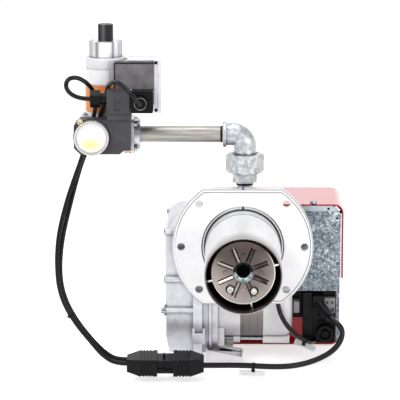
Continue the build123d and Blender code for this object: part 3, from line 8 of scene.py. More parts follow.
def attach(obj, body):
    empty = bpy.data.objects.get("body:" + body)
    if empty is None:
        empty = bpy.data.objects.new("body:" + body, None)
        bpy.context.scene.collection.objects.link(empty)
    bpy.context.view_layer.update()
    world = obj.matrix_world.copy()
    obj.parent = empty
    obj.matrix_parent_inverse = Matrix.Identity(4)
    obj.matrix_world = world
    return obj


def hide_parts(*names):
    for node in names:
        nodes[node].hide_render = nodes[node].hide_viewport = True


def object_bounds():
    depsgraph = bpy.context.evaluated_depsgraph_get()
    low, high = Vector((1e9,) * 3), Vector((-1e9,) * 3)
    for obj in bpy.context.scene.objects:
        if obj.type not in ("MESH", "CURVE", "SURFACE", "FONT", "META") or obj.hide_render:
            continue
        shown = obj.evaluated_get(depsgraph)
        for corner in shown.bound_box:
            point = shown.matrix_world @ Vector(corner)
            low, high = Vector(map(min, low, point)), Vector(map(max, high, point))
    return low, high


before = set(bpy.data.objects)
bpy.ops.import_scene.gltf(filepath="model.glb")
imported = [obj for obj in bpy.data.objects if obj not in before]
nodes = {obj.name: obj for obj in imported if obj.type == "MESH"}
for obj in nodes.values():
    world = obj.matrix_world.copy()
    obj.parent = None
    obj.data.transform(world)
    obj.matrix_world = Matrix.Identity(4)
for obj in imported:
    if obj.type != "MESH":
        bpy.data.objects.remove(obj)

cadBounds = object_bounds()
mm = 0.001

# places and sizes of the solids that finishes and small pieces refer to, in millimetres
towerAxis = (-181.6, 50.0)       # x and y of the regulator tower
dialCentre = (-197.5, 149.5)     # x and z of the pressure switch's dial
flangeFlat = 16.0                # how much nearer the axis the flange's flats are than its round sides
louvreCount = 8
tabTurn = math.radians(14)       # the disc's springy tabs lean this much from upright
upperRight = (0.8, 0, 0.6)       # the painted shade lines on the flange and its seal fade away from this side


# camera: long lens, a little above the tube's axis
cameraView = {
    "elevation": math.radians(11.5),
    "azimuth": math.radians(0.7),
    "distance": 3.3,
    "lens": 225.0,
    "sensor": 36.0,
    "shiftRight": -0.0565,       # point on the optical axis, beside and above the flange's centre
    "shiftUp": 0.0622,
}


def makeCamera(view):
    sinE, cosE = math.sin(view["elevation"]), math.cos(view["elevation"])
    sinA, cosA = math.sin(view["azimuth"]), math.cos(view["azimuth"])
    forward = Vector((-sinA * cosE, cosA * cosE, -sinE))
    right = Vector((cosA, sinA, 0))
    up = right.cross(forward)
    place = right * view["shiftRight"] + up * view["shiftUp"] - forward * view["distance"]
    data = bpy.data.cameras.new("camera")
    data.lens, data.sensor_width = view["lens"], view["sensor"]
    camera = bpy.data.objects.new("camera", data)
    camera.matrix_world = Matrix((right, up, -forward)).transposed().to_4x4()
    camera.location = place
    bpy.context.scene.collection.objects.link(camera)
    bpy.context.scene.camera = camera


makeCamera(cameraView)
print("camera done")


# leads: the routes' points in millimetres, one smooth spline each
leads = {
    "switchLead": {
        "node": "switch_lead", "diameter": 6.0, "length": 502, "farEnd": "connector",
        "with": ["connector_plug"],
        "points": [
            (-199.5, -4.5, 198.5), (-210.5, -4.5, 198.5), (-225, -5, 204), (-232, -5, 214.5),
            (-228.5, -4, 225), (-216.5, -1, 226.5), (-204, 5, 218), (-196, 12, 206), (-193, 15.5, 190),
            (-197, 15.6, 167), (-205.5, 15.3, 139), (-214, 15.3, 112), (-223, 13, 87.5), (-231.2, 10, 63.5),
            (-237.8, 6.5, 40), (-243, 3.5, 16.5), (-245.5, 1, -7.5), (-245.5, -2, -31.3),
            (-243.3, -5, -55), (-235.2, -8.5, -78.6), (-220.6, -12.5, -102.1), (-200.5, -18, -125.2),
            (-185, -23, -142.5), (-168, -25.5, -152.5), (-152.9, -25.5, -152.5),
        ],
    },
    "coilLead": {
        "node": "coil_lead", "diameter": 6.0, "length": 500, "farEnd": "connector",
        "with": ["connector_socket"],
        "points": [
            (-133.5, -25, 195), (-133.5, -33, 195), (-141, -37, 205), (-151, -32, 216.5),
            (-161, -19, 222), (-171, -3.5, 220.5), (-177, 12, 213.5), (-180.5, 18, 198), (-185.5, 19.6, 179),
            (-193, 21, 158), (-202.5, 21.6, 134), (-212.7, 21.3, 109.8), (-219.8, 19, 86), (-226, 15, 62.6),
            (-232, 12, 39), (-237.5, 9.5, 15.2), (-241, 7.4, -8.8), (-242.2, 5, -32.8), (-239.8, 1.8, -56.5),
            (-231.4, -1.9, -80.2), (-216.7, -6.2, -103.7), (-196.8, -11.8, -126.8), (-182, -16.5, -140),
            (-167.5, -18.5, -148.5), (-152.9, -18.5, -148.5),
        ],
    },
    "burnerLead": {
        "node": "burner_lead", "diameter": 7.6, "length": 237, "farEnd": "object", "with": [],
        "points": [
            (-51.1, -22, -155.5), (-33, -22, -155.5), (-11, -20, -155.8), (10, -17, -157.2),
            (32.6, -13, -159.5), (56.6, -8, -161), (79.4, -2, -159.5), (100.8, 4, -154),
            (120.5, 10, -144.5), (131.6, 15, -131.5), (134, 19, -119.5), (129.5, 23.5, -111.5),
            (122, 30.3, -107.75), (117.5, 36, -104),
        ],
    },
    "sensorLead": {
        "node": "sensor_lead", "diameter": 6.2, "length": 147, "farEnd": "object", "with": [],
        "points": [
            (37.924, 28, -45.197), (43.067, 28, -51.325), (46, 23.5, -60), (47, 20.5, -70.5),
            (47, 20.5, -82.5), (50.9, 22.5, -97.3), (58.4, 26.5, -112), (69.3, 31, -125.8),
            (79.5, 38.5, -134.5), (88.5, 47.5, -141), (95, 58, -144), (98, 68, -144), (98, 71, -144),
        ],
    },
}


def makeLead(name, lead):
    curve = bpy.data.curves.new(name, "CURVE")
    curve.dimensions = "3D"
    spline = curve.splines.new("NURBS")
    spline.points.add(len(lead["points"]) - 1)
    for point, place in zip(spline.points, lead["points"]):
        point.co = (*(v * mm for v in place), 1)
        point.radius = lead["diameter"] / 2 * mm       # the curve's box takes in this radius
    spline.order_u = 3
    spline.use_endpoint_u = True
    spline.resolution_u = 10
    curve.bevel_depth = 1.0
    curve.bevel_resolution = 5
    curve.use_fill_caps = True
    piece = bpy.data.objects.new(name, curve)
    bpy.context.scene.collection.objects.link(piece)
    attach(piece, "burner")
    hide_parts(lead["node"])
    return piece


leadPieces = {name: makeLead(name, lead) for name, lead in leads.items()}
print("leads done")


# studio: pale floor, white background, three soft lamps
studio = {
    "floorDrop": 0.002, "floorSize": 8.0, "floorWhite": 0.82, "floorGlow": 0.62,
    "skyForLight": 0.55, "panelScale": 1.9, "panelEdges": (0.36, 0.6), "roomLow": 0.42, "roomHigh": 1.12,
    "darkFront": 0.45, "brightBack": 1.25,
    "lamps": {
        "key": {"place": (-1.3, -2.2, 1.7), "size": 1.1, "power": 34},
        "fill": {"place": (1.7, -1.9, 0.7), "size": 1.3, "power": 17},
        "top": {"place": (0.0, 0.2, 2.3), "size": 1.4, "power": 20},
    },
}


def toLinear(hexColour):
    channels = [int(hexColour[i:i + 2], 16) / 255 for i in (1, 3, 5)]
    return (*(c / 12.92 if c <= 0.04045 else ((c + 0.055) / 1.055) ** 2.4 for c in channels), 1)


def addNode(tree, kind, inputs=None, out=0, stops=(), **settings):
    # an input is a plain value, a hex colour, or another node's output to link; stops are a colour ramp's;
    # the output that out names is what comes back
    node = tree.nodes.new("ShaderNode" + kind)
    for name, value in settings.items():
        setattr(node, name, value)
    for socket, value in (inputs or {}).items():
        if isinstance(value, bpy.types.NodeSocket):
            tree.links.new(value, node.inputs[socket])
        else:
            node.inputs[socket].default_value = toLinear(value) if isinstance(value, str) else value
    for step, (at, hexColour) in enumerate(stops):
        element = node.color_ramp.elements[step] if step < 2 else node.color_ramp.elements.new(at)
        element.position, element.color = at, toLinear(hexColour)
    return node.outputs[out] if node.outputs else None


asColour = {"out": 2, "data_type": "RGBA"}       # for a Mix node, whose colours are its inputs 6 and 7


def makeFloor(floor):
    # its glow is seen by the camera and in reflections, and lights nothing else
    low = cadBounds[0][2] - floor["floorDrop"]
    mesh = bmesh.new()
    bmesh.ops.create_grid(mesh, x_segments=1, y_segments=1, size=floor["floorSize"] / 2,
                          matrix=Matrix.Translation((0, 0, low)))
    data = bpy.data.meshes.new("floor")
    mesh.to_mesh(data)
    mesh.free()
    piece = bpy.data.objects.new("floor", data)
    bpy.context.scene.collection.objects.link(piece)
    material = bpy.data.materials.new("painted floor")
    material.use_nodes = True
    tree = material.node_tree
    tree.nodes.clear()
    matt = addNode(tree, "BsdfDiffuse", {"Color": (*[floor["floorWhite"]] * 3, 1)})
    glow = addNode(tree, "Emission", {"Color": (1, 1, 1, 1), "Strength": floor["floorGlow"]})
    both = addNode(tree, "AddShader", {0: matt, 1: glow})
    rays = addNode(tree, "LightPath").node.outputs
    seen = addNode(tree, "Math", {0: rays["Is Camera Ray"], 1: rays["Is Glossy Ray"]}, operation="MAXIMUM")
    seen = addNode(tree, "Math", {0: seen, 1: rays["Is Transmission Ray"]}, operation="MAXIMUM")
    mix = addNode(tree, "MixShader", {0: seen, 1: matt, 2: both})
    addNode(tree, "OutputMaterial", {"Surface": mix})
    data.materials.append(material)


def makeSky(sky):
    # white to the camera; reflections see soft panels, dim towards the camera and bright behind the burner
    world = bpy.data.worlds.new("studio")
    world.use_nodes = True
    bpy.context.scene.world = world
    tree = world.node_tree
    tree.nodes.clear()
    rays = addNode(tree, "LightPath").node.outputs
    seen = addNode(tree, "Math", {0: rays["Is Camera Ray"], 1: rays["Is Transmission Ray"]},
                   operation="MAXIMUM")
    around = addNode(tree, "TexCoord", out="Generated")
    panels = addNode(tree, "TexNoise", {"Vector": around, "Scale": sky["panelScale"], "Detail": 0.0},
                     out="Fac")
    low, high = sky["panelEdges"]
    room = addNode(tree, "MapRange", {0: panels, 1: low, 2: high, 3: sky["roomLow"], 4: sky["roomHigh"]})
    depth = addNode(tree, "SeparateXYZ", {0: around}, out="Y")
    front = addNode(tree, "MapRange", {0: depth, 1: -0.97, 2: -0.8, 3: sky["darkFront"], 4: 1.0})
    room = addNode(tree, "Math", {0: room, 1: front}, operation="MULTIPLY")
    behind = addNode(tree, "MapRange", {0: depth, 1: 0.45, 2: 0.75})
    room = addNode(tree, "Mix", {0: behind, 2: room, 3: sky["brightBack"]})
    mirrored = addNode(tree, "Mix", {0: rays["Is Glossy Ray"], 2: sky["skyForLight"], 3: room})
    strength = addNode(tree, "Mix", {0: seen, 2: mirrored, 3: 1.0})
    light = addNode(tree, "Background", {"Color": (1, 1, 1, 1), "Strength": strength})
    addNode(tree, "OutputWorld", {"Surface": light})


def makeLamps(lamps):
    for name, lamp in lamps.items():
        data = bpy.data.lights.new(name, "AREA")
        data.energy, data.size = lamp["power"], lamp["size"]
        piece = bpy.data.objects.new(name, data)
        piece.location = lamp["place"]
        piece.rotation_euler = (-Vector(lamp["place"])).to_track_quat("-Z", "Y").to_euler()
        bpy.context.scene.collection.objects.link(piece)


makeFloor(studio)
makeSky(studio)
makeLamps(studio["lamps"])
bpy.context.scene.view_settings.view_transform = "Standard"
print("studio done")


# finishes: each has two tones, the size of its mottling and grain in mm, and how deep the grain is; some have
# painted corner shade, with its reach in mm and its tone
def makeFinish(name, look):
    material = bpy.data.materials.new(name)
    material.use_nodes = True
    tree = material.node_tree
    tree.nodes.clear()
    place = addNode(tree, "TexCoord", out="Object")
    drawn = addNode(tree, "Mapping", {"Vector": place, "Scale": look.get("stretch", (1, 1, 1))})
    blotch = addNode(tree, "TexNoise", {"Vector": drawn, "Scale": 1 / (look["mottle"] * mm),
                                        "Detail": 4.0, "Roughness": 0.6}, out="Fac")
    grain = addNode(tree, "TexNoise", {"Vector": drawn, "Scale": 1 / (look["grain"] * mm),
                                       "Detail": 3.0, "Roughness": 0.65}, out="Fac")
    blotch = addNode(tree, "MapRange", {0: blotch, 1: 0.34, 2: 0.66})
    first, second = look["tones"]
    colour = addNode(tree, "Mix", {0: blotch, 6: first, 7: second}, **asColour)
    height = grain
    if "pattern" in look:
        colour, height = look["pattern"](tree, place, colour, height)
    if "paintedCornerShade" in look:                   # painted shade in inner corners, from ambient occlusion
        reach, tone = look["paintedCornerShade"]
        openness = addNode(tree, "AmbientOcclusion", {"Distance": reach * mm}, out="AO", samples=6)
        cornerShadeAmount = addNode(tree, "MapRange", {0: openness, 1: 0.45, 2: 0.85, 3: 0.85, 4: 0.0})
        colour = addNode(tree, "Mix", {0: cornerShadeAmount, 6: colour, 7: tone}, **asColour)
    low, high = look["rough"]
    rough = addNode(tree, "MapRange", {0: grain, 1: 0.3, 2: 0.7, 3: low, 4: high})
    relief = {"Height": height, "Distance": look["depth"] * mm}
    if "edge" in look:                      # tiny rounding that catches the light along edges
        relief["Normal"] = addNode(tree, "Bevel", {"Radius": look["edge"] * mm}, samples=4)
    shader = addNode(tree, "BsdfPrincipled", {
        "Base Color": colour, "Roughness": rough, "Metallic": look.get("metallic", 0.0),
        "Normal": addNode(tree, "Bump", relief), **look.get("sockets", {})})
    addNode(tree, "OutputMaterial", {"Surface": shader})
    return material


def radiusFromAxis(tree, place):
    # distance from the blast tube's axis, in metres
    flat = addNode(tree, "VectorMath", {0: place, 1: (1, 0, 1)}, operation="MULTIPLY")
    return addNode(tree, "VectorMath", {0: flat}, out="Value", operation="LENGTH")


def outwardOnFlange(tree, place):
    # distance from the axis that follows the flange's outline: round at the sides, flat above and below
    height = addNode(tree, "SeparateXYZ", {0: place}, out="Z")
    height = addNode(tree, "Math", {0: height}, operation="ABSOLUTE")
    flat = addNode(tree, "Math", {0: height, 1: flangeFlat * mm}, operation="ADD")
    return addNode(tree, "Math", {0: radiusFromAxis(tree, place), 1: flat}, operation="MAXIMUM")


def aboutTower(tree, place):
    # distance to the right of the tower's axis in metres, and angle about it from the front
    middle = [v * mm for v in (*towerAxis, 0)]
    local = addNode(tree, "VectorMath", {0: place, 1: middle}, operation="SUBTRACT")
    across = addNode(tree, "SeparateXYZ", {0: local}, out="X")
    forward = addNode(tree, "VectorMath", {0: local, 1: (0, -1, 0)}, out="Value", operation="DOT_PRODUCT")
    return across, addNode(tree, "Math", {0: across, 1: forward}, operation="ARCTAN2")


# patterns: each takes the colour and height so far and gives its own; their places are in metres
def sootAndBeadShade(tree, place, colour, height):
    # bare satin outside with a smoky band behind the lip, burnt dark brown inside
    inside = addNode(tree, "MapRange", {0: radiusFromAxis(tree, place), 1: 0.0484, 2: 0.0476})
    soot = addNode(tree, "TexNoise", {"Vector": place, "Scale": 60.0, "Detail": 5.0}, out="Fac")
    burnt = addNode(tree, "ValToRGB", {0: soot}, stops=[(0.3, "#0E0907"), (0.7, "#2C1F19")])
    length = addNode(tree, "SeparateXYZ", {0: place}, out="Y")
    smoke = addNode(tree, "MapRange", {0: length, 1: -0.168, 2: -0.128, 3: 0.8, 4: 0.0})
    colour = addNode(tree, "Mix", {0: smoke, 6: colour, 7: "#968E8A"}, **asColour)
    # painted shade: a grey line on each side of the rolled bead
    beadShade = addNode(tree, "Math", {0: length, 1: -0.0235}, operation="SUBTRACT")
    beadShade = addNode(tree, "Math", {0: beadShade}, operation="ABSOLUTE")
    beadShade = addNode(tree, "Math", {0: beadShade, 1: 0.0034, 2: 0.0009}, operation="COMPARE")
    beadShade = addNode(tree, "Math", {0: beadShade, 1: 0.8}, operation="MULTIPLY")
    colour = addNode(tree, "Mix", {0: beadShade, 6: colour, 7: "#77777B"}, **asColour)
    return addNode(tree, "Mix", {0: inside, 6: colour, 7: burnt}, **asColour), height


def heatTintAndPaintedLight(tree, place, colour, height):
    # annealing colours: straw at the rim, brown towards the flame
    radius = radiusFromAxis(tree, place)
    tint = addNode(tree, "MapRange", {0: radius, 1: 0.012, 2: 0.041})
    tint = addNode(tree, "ValToRGB", {0: tint}, stops=[(0.0, "#5E5451"), (0.5, "#776C68"), (1.0, "#A2978F")])
    smoke = addNode(tree, "TexNoise", {"Vector": place, "Scale": 45.0, "Detail": 3.0}, out="Fac")
    smoke = addNode(tree, "MapRange", {0: smoke, 1: 0.35, 2: 0.65, 3: 0.55, 4: 0.95})
    colour = addNode(tree, "Mix", {0: smoke, 6: colour, 7: tint}, **asColour)
    # painted shade above, painted light below and to the left
    shadeAbove = addNode(tree, "VectorMath", {0: place, 1: (-0.1, 0, 0.995)}, out="Value", operation="DOT_PRODUCT")
    shadeAbove = addNode(tree, "MapRange", {0: shadeAbove, 1: -0.016, 2: 0.028, 3: 0.0, 4: 0.85})
    colour = addNode(tree, "Mix", {0: shadeAbove, 6: colour, 7: "#3E3532"}, **asColour)
    lightLowerLeft = addNode(tree, "VectorMath", {0: place, 1: (-0.45, 0, -0.9)}, out="Value", operation="DOT_PRODUCT")
    lightLowerLeft = addNode(tree, "MapRange", {0: lightLowerLeft, 1: -0.004, 2: 0.032, 3: 0.0, 4: 0.7})
    colour = addNode(tree, "Mix", {0: lightLowerLeft, 6: colour, 7: "#B3A9A5"}, **asColour)
    # each louvre gets painted shade on its flanks and a painted highlight along its ridge, brightest at the
    # lower left; side is the distance across it
    half = math.pi / louvreCount
    x = addNode(tree, "SeparateXYZ", {0: place}, out="X")
    z = addNode(tree, "SeparateXYZ", {0: place}, out="Z")
    turn = addNode(tree, "Math", {0: z, 1: x}, operation="ARCTAN2")
    turn = addNode(tree, "Math", {0: turn, 1: half}, operation="SUBTRACT")
    turn = addNode(tree, "Math", {0: turn, 1: half, 2: -half}, operation="WRAP")
    side = addNode(tree, "Math", {0: turn}, operation="SINE")
    side = addNode(tree, "Math", {0: side, 1: radius}, operation="MULTIPLY")
    start = addNode(tree, "MapRange", {0: radius, 1: 0.0138, 2: 0.0144})
    end = addNode(tree, "MapRange", {0: radius, 1: 0.0346, 2: 0.0340})
    ends = addNode(tree, "Math", {0: start, 1: end}, operation="MULTIPLY")
    flankShade = addNode(tree, "MapRange", {0: side, 1: -0.0042, 2: 0.0042})
    flankShade = addNode(tree, "ValToRGB", {0: flankShade}, stops=[
        (0.0, "#000000"), (0.09, "#000000"), (0.17, "#FFFFFF"), (0.25, "#FFFFFF"), (0.33, "#000000"),
        (0.72, "#000000"), (0.78, "#FFFFFF"), (0.86, "#FFFFFF"), (0.95, "#000000")])
    flankShade = addNode(tree, "Math", {0: flankShade, 1: ends}, operation="MULTIPLY")
    flankShade = addNode(tree, "Math", {0: flankShade, 1: 0.85}, operation="MULTIPLY")
    colour = addNode(tree, "Mix", {0: flankShade, 6: colour, 7: "#1B1513"}, **asColour)
    ridgeHighlight = addNode(tree, "Math", {0: side, 1: -0.0004, 2: 0.0009}, operation="COMPARE")
    ridgeHighlight = addNode(tree, "Math", {0: ridgeHighlight, 1: ends}, operation="MULTIPLY")
    ridgeLightSide = addNode(tree, "VectorMath", {0: place, 1: (-0.86, 0, -0.3)}, out="Value", operation="DOT_PRODUCT")
    ridgeLightSide = addNode(tree, "MapRange", {0: ridgeLightSide, 1: -0.02, 2: 0.02, 3: 0.25, 4: 0.95})
    ridgeHighlight = addNode(tree, "Math", {0: ridgeHighlight, 1: ridgeLightSide}, operation="MULTIPLY")
    colour = addNode(tree, "Mix", {0: ridgeHighlight, 6: colour, 7: "#F2ECE9"}, **asColour)
    # painted highlight along the rim's lower part
    rim = addNode(tree, "MapRange", {0: radius, 1: 0.0388, 2: 0.0398})
    lower = addNode(tree, "VectorMath", {0: place, 1: (-0.5, 0, 0.87)}, out="Value", operation="DOT_PRODUCT")
    lower = addNode(tree, "MapRange", {0: lower, 1: 0.012, 2: -0.012})
    paintedHighlight = addNode(tree, "Math", {0: rim, 1: lower}, operation="MULTIPLY")
    colour = addNode(tree, "Mix", {0: paintedHighlight, 6: colour, 7: "#E6DFDB"}, **asColour)
    # the four springy tabs outside the rim are dark, with a painted highlight along the middles of all but
    # the top one
    sine, cosine = math.sin(tabTurn), math.cos(tabTurn)
    offUpright, offLevel = [
        addNode(tree, "VectorMath", {0: place, 1: way}, out="Value", operation="DOT_PRODUCT")
        for way in ((-sine, 0, cosine), (cosine, 0, sine))]
    offUpright = addNode(tree, "Math", {0: offUpright}, operation="ABSOLUTE")
    offLevel = addNode(tree, "Math", {0: offLevel}, operation="ABSOLUTE")
    offTab = addNode(tree, "Math", {0: offUpright, 1: offLevel}, operation="MINIMUM")
    middle = addNode(tree, "MapRange", {0: offTab, 1: 0.0013, 2: 0.0008})
    belowTop = addNode(tree, "MapRange", {0: z, 1: 0.034, 2: 0.028})
    paintedHighlight = addNode(tree, "Math", {0: middle, 1: belowTop}, operation="MULTIPLY")
    tab = addNode(tree, "Mix", {0: paintedHighlight, 6: "#1D1512", 7: "#F4F0ED"}, **asColour)
    outside = addNode(tree, "MapRange", {0: radius, 1: 0.0404, 2: 0.0406})
    return addNode(tree, "Mix", {0: outside, 6: colour, 7: tab}, **asColour), height


def cutEdgeShade(tree, place, colour, height):
    # painted shade: grey lines along the board's cut edge and the pressed line beside it, faint at the lower
    # left
    shadeLine = addNode(tree, "MapRange", {0: outwardOnFlange(tree, place), 1: 0.0880, 2: 0.0920})
    shadeLine = addNode(tree, "ValToRGB", {0: shadeLine}, stops=[
        (0.0, "#000000"), (0.14, "#000000"), (0.2, "#FFFFFF"), (0.46, "#FFFFFF"), (0.52, "#000000"),
        (1.0, "#000000")])
    shadeFade = addNode(tree, "VectorMath", {0: place, 1: upperRight}, out="Value", operation="DOT_PRODUCT")
    shadeFade = addNode(tree, "MapRange", {0: shadeFade, 1: -0.075, 2: -0.045, 3: 0.15, 4: 1.0})
    shadeLine = addNode(tree, "Math", {0: shadeLine, 1: shadeFade}, operation="MULTIPLY")
    return addNode(tree, "Mix", {0: shadeLine, 6: colour, 7: "#8D8D92"}, **asColour), height


def facedEdgeShade(tree, place, colour, height):
    # painted shade: dark lines on the chamfer round the plate's outside, and two round its collar that fade
    # at the top and bottom
    radius = radiusFromAxis(tree, place)
    outer = addNode(tree, "MapRange", {0: outwardOnFlange(tree, place), 1: 0.0919, 2: 0.0922})
    nearFace = addNode(tree, "SeparateXYZ", {0: place}, out="Y")
    nearFace = addNode(tree, "MapRange", {0: nearFace, 1: 0.0032, 2: 0.0024})
    outer = addNode(tree, "Math", {0: outer, 1: nearFace}, operation="MULTIPLY")
    shadeFade = addNode(tree, "VectorMath", {0: place, 1: upperRight}, out="Value", operation="DOT_PRODUCT")
    shadeFade = addNode(tree, "MapRange", {0: shadeFade, 1: -0.07, 2: -0.04, 3: 0.1, 4: 0.8})
    outer = addNode(tree, "Math", {0: outer, 1: shadeFade}, operation="MULTIPLY")
    colour = addNode(tree, "Mix", {0: outer, 6: colour, 7: "#8E8E93"}, **asColour)
    across = addNode(tree, "SeparateXYZ", {0: place}, out="X")
    across = addNode(tree, "Math", {0: across}, operation="ABSOLUTE")
    sides = addNode(tree, "MapRange", {0: across, 1: 0.012, 2: 0.040, 3: 0.3, 4: 1.0})
    for at, half, tone in ((0.0540, 0.0011, "#515156"), (0.0509, 0.0009, "#3A3A3D")):
        shadeLine = addNode(tree, "Math", {0: radius, 1: at, 2: half}, operation="COMPARE")
        shadeLine = addNode(tree, "Math", {0: shadeLine, 1: sides}, operation="MULTIPLY")
        colour = addNode(tree, "Mix", {0: shadeLine, 6: colour, 7: tone}, **asColour)
    return colour, height


def fluteHighlightsAndShade(tree, place, colour, height):
    # six shallow flutes around the bonnet: painted shade in their bottoms and at its left and right, painted
    # highlights between
    across, turn = aboutTower(tree, place)
    turn = addNode(tree, "Math", {0: turn, 1: 3.0}, operation="MULTIPLY")
    fluteLight = addNode(tree, "Math", {0: turn}, operation="COSINE")
    fluteLight = addNode(tree, "Math", {0: fluteLight}, operation="ABSOLUTE")
    tone = addNode(tree, "ValToRGB", {0: fluteLight}, stops=[
        (0.0, "#5F6066"), (0.16, "#86878D"), (0.34, "#D2D3D7"), (0.6, "#F4F4F5"), (1.0, "#FAFAFA")])
    colour = addNode(tree, "Mix", {0: 0.8, 6: colour, 7: tone}, **asColour)
    side = addNode(tree, "Math", {0: across}, operation="ABSOLUTE")
    side = addNode(tree, "MapRange", {0: side, 1: 0.0125, 2: 0.018, 3: 0.0, 4: 0.7})
    return addNode(tree, "Mix", {0: side, 6: colour, 7: "#9C9DA3"}, **asColour), height


def paintedRibSheen(tree, place, colour, height):
    # painted sheen: the ribs' flanks are painted bright at the front and side of the cap and dark between
    turn = addNode(tree, "MapRange", {0: aboutTower(tree, place)[1], 1: -1.6, 2: 1.6})
    tone = addNode(tree, "ValToRGB", {0: turn}, stops=[
        (0.0, "#3A3A3C"), (0.14, "#0C0C0D"), (0.3, "#39393B"), (0.42, "#69696B"), (0.5, "#3C3C3E"),
        (0.62, "#1B1B1C"), (0.8, "#353537"), (0.92, "#56565A"), (1.0, "#1C1C1E")])
    return addNode(tree, "Mix", {0: 0.9, 6: colour, 7: tone}, **asColour), height


def shadedMouthTop(tree, place, colour, height):
    # painted shade: the mouth of the gas head is black above and bright below
    black = addNode(tree, "SeparateXYZ", {0: place}, out="Z")
    black = addNode(tree, "MapRange", {0: black, 1: -0.008, 2: 0.001})
    return addNode(tree, "Mix", {0: black, 6: colour, 7: "#17191A"}, **asColour), height


def spangleAndFoldHighlight(tree, place, colour, height):
    # zinc flowers: cells of two millimetres, each crystal reflecting at its own tone
    bent = addNode(tree, "TexNoise", {"Vector": place, "Scale": 260.0, "Detail": 2.0}, out="Color")
    bent = addNode(tree, "VectorMath", {0: bent, 1: (0.005, 0.005, 0.005), 2: place},
                   operation="MULTIPLY_ADD")
    cells = addNode(tree, "TexVoronoi", {"Vector": bent, "Scale": 480.0}).node.outputs
    drift = addNode(tree, "TexNoise", {"Vector": place, "Scale": 60.0, "Detail": 3.0}, out="Fac")
    drift = addNode(tree, "Math", {0: drift, 1: 0.9, 2: -0.45}, operation="MULTIPLY_ADD")
    crystal = addNode(tree, "SeparateColor", {0: cells["Color"]})
    level = addNode(tree, "Math", {0: crystal, 1: drift}, operation="ADD")
    tone = addNode(tree, "ValToRGB", {0: level}, stops=[
        (0.0, "#454D55"), (0.3, "#69727B"), (0.62, "#8B949C"), (0.88, "#A9B1B8"), (1.0, "#DDE3E8")])
    lower = addNode(tree, "VectorMath", {0: place, 1: (0.5, 0, 0.87)}, out="Value", operation="DOT_PRODUCT")
    lower = addNode(tree, "MapRange", {0: lower, 1: 0.055, 2: 0.0, 3: 0.0, 4: 0.3})
    tone = addNode(tree, "Mix", {0: lower, 6: tone, 7: "#4A525A"}, **asColour)
    # painted highlight along the top band of the fold
    fold = addNode(tree, "SeparateXYZ", {0: place}, out="Z")
    fold = addNode(tree, "MapRange", {0: fold, 1: 0.0352, 2: 0.0366, 3: 0.0, 4: 0.75})
    tone = addNode(tree, "Mix", {0: fold, 6: tone, 7: "#C6D0DA"}, **asColour)
    return addNode(tree, "Mix", {0: 0.85, 6: colour, 7: tone}, **asColour), cells["Distance"]


def sheetLinesAndShade(tree, place, colour, height):
    # painted shade darkens it down the round; the sheets' edges, half a millimetre in fact, are drawn at 1.6
    pitch = 1.6 * mm
    lines = addNode(tree, "TexWave", {"Vector": place, "Scale": 1 / pitch / 20, "Distortion": 0.4,
                                      "Detail": 1.0}, out="Fac", bands_direction="X")
    lines = addNode(tree, "MapRange", {0: lines, 1: 0.0, 2: 0.5, 3: 0.14, 4: 0.0})
    shade = addNode(tree, "SeparateXYZ", {0: place}, out="Z")
    shade = addNode(tree, "MapRange", {0: shade, 1: -0.142, 2: -0.06})
    shade = addNode(tree, "ValToRGB", {0: shade}, stops=[
        (0.0, "#5F5A5A"), (0.3, "#7D7878"), (0.62, "#97928F"), (1.0, "#BAB5B0")])
    return addNode(tree, "Mix", {0: lines, 6: shade, 7: "#2E2B2B"}, **asColour), height


def dialScale(tree, place, colour, height):
    # printed dial: pale field, a soft yellow patch below the middle, and a thin ring
    near = addNode(tree, "VectorMath", {0: place, 1: (-0.1985, 0.0, 0.1405)}, operation="SUBTRACT")
    near = addNode(tree, "VectorMath", {0: near, 1: (0.8, 0, 1.5)}, operation="MULTIPLY")
    far = addNode(tree, "VectorMath", {0: near}, out="Value", operation="LENGTH")
    for start, end, most, tone in ((0.026, 0.008, 0.5, "#FAFBD9"), (0.0115, 0.003, 0.9, "#EDEE52")):
        patch = addNode(tree, "MapRange", {0: far, 1: start, 2: end, 3: 0.0, 4: most})
        colour = addNode(tree, "Mix", {0: patch, 6: colour, 7: tone}, **asColour)
    middle = [v * mm for v in (dialCentre[0], 0, dialCentre[1])]
    ring = addNode(tree, "VectorMath", {0: place, 1: middle}, operation="SUBTRACT")
    ring = addNode(tree, "VectorMath", {0: ring, 1: (1, 0, 1)}, operation="MULTIPLY")
    ring = addNode(tree, "VectorMath", {0: ring}, out="Value", operation="LENGTH")
    ring = addNode(tree, "Math", {0: ring, 1: 0.0199, 2: 0.0005}, operation="COMPARE")
    return addNode(tree, "Mix", {0: ring, 6: colour, 7: "#7E7E86"}, **asColour), height


def blackFrame(tree, place, colour, height):
    # the coil's face has a black moulded border at its top and left, and it is pale grey from 50 mm back
    deep = addNode(tree, "SeparateXYZ", {0: place}, out="Y")
    paleBack = addNode(tree, "MapRange", {0: deep, 1: 0.050, 2: 0.054})
    colour = addNode(tree, "Mix", {0: paleBack, 6: colour, 7: "#D9D9DC"}, **asColour)
    top = addNode(tree, "SeparateXYZ", {0: place}, out="Z")
    top = addNode(tree, "MapRange", {0: top, 1: 0.2425, 2: 0.2432})
    left = addNode(tree, "SeparateXYZ", {0: place}, out="X")
    left = addNode(tree, "MapRange", {0: left, 1: -0.1668, 2: -0.1674})
    edge = addNode(tree, "Math", {0: top, 1: left}, operation="MAXIMUM")
    front = addNode(tree, "MapRange", {0: deep, 1: 0.018, 2: 0.014})
    edge = addNode(tree, "Math", {0: edge, 1: front}, operation="MULTIPLY")
    return addNode(tree, "Mix", {0: edge, 6: colour, 7: "#0B0B0C"}, **asColour), height


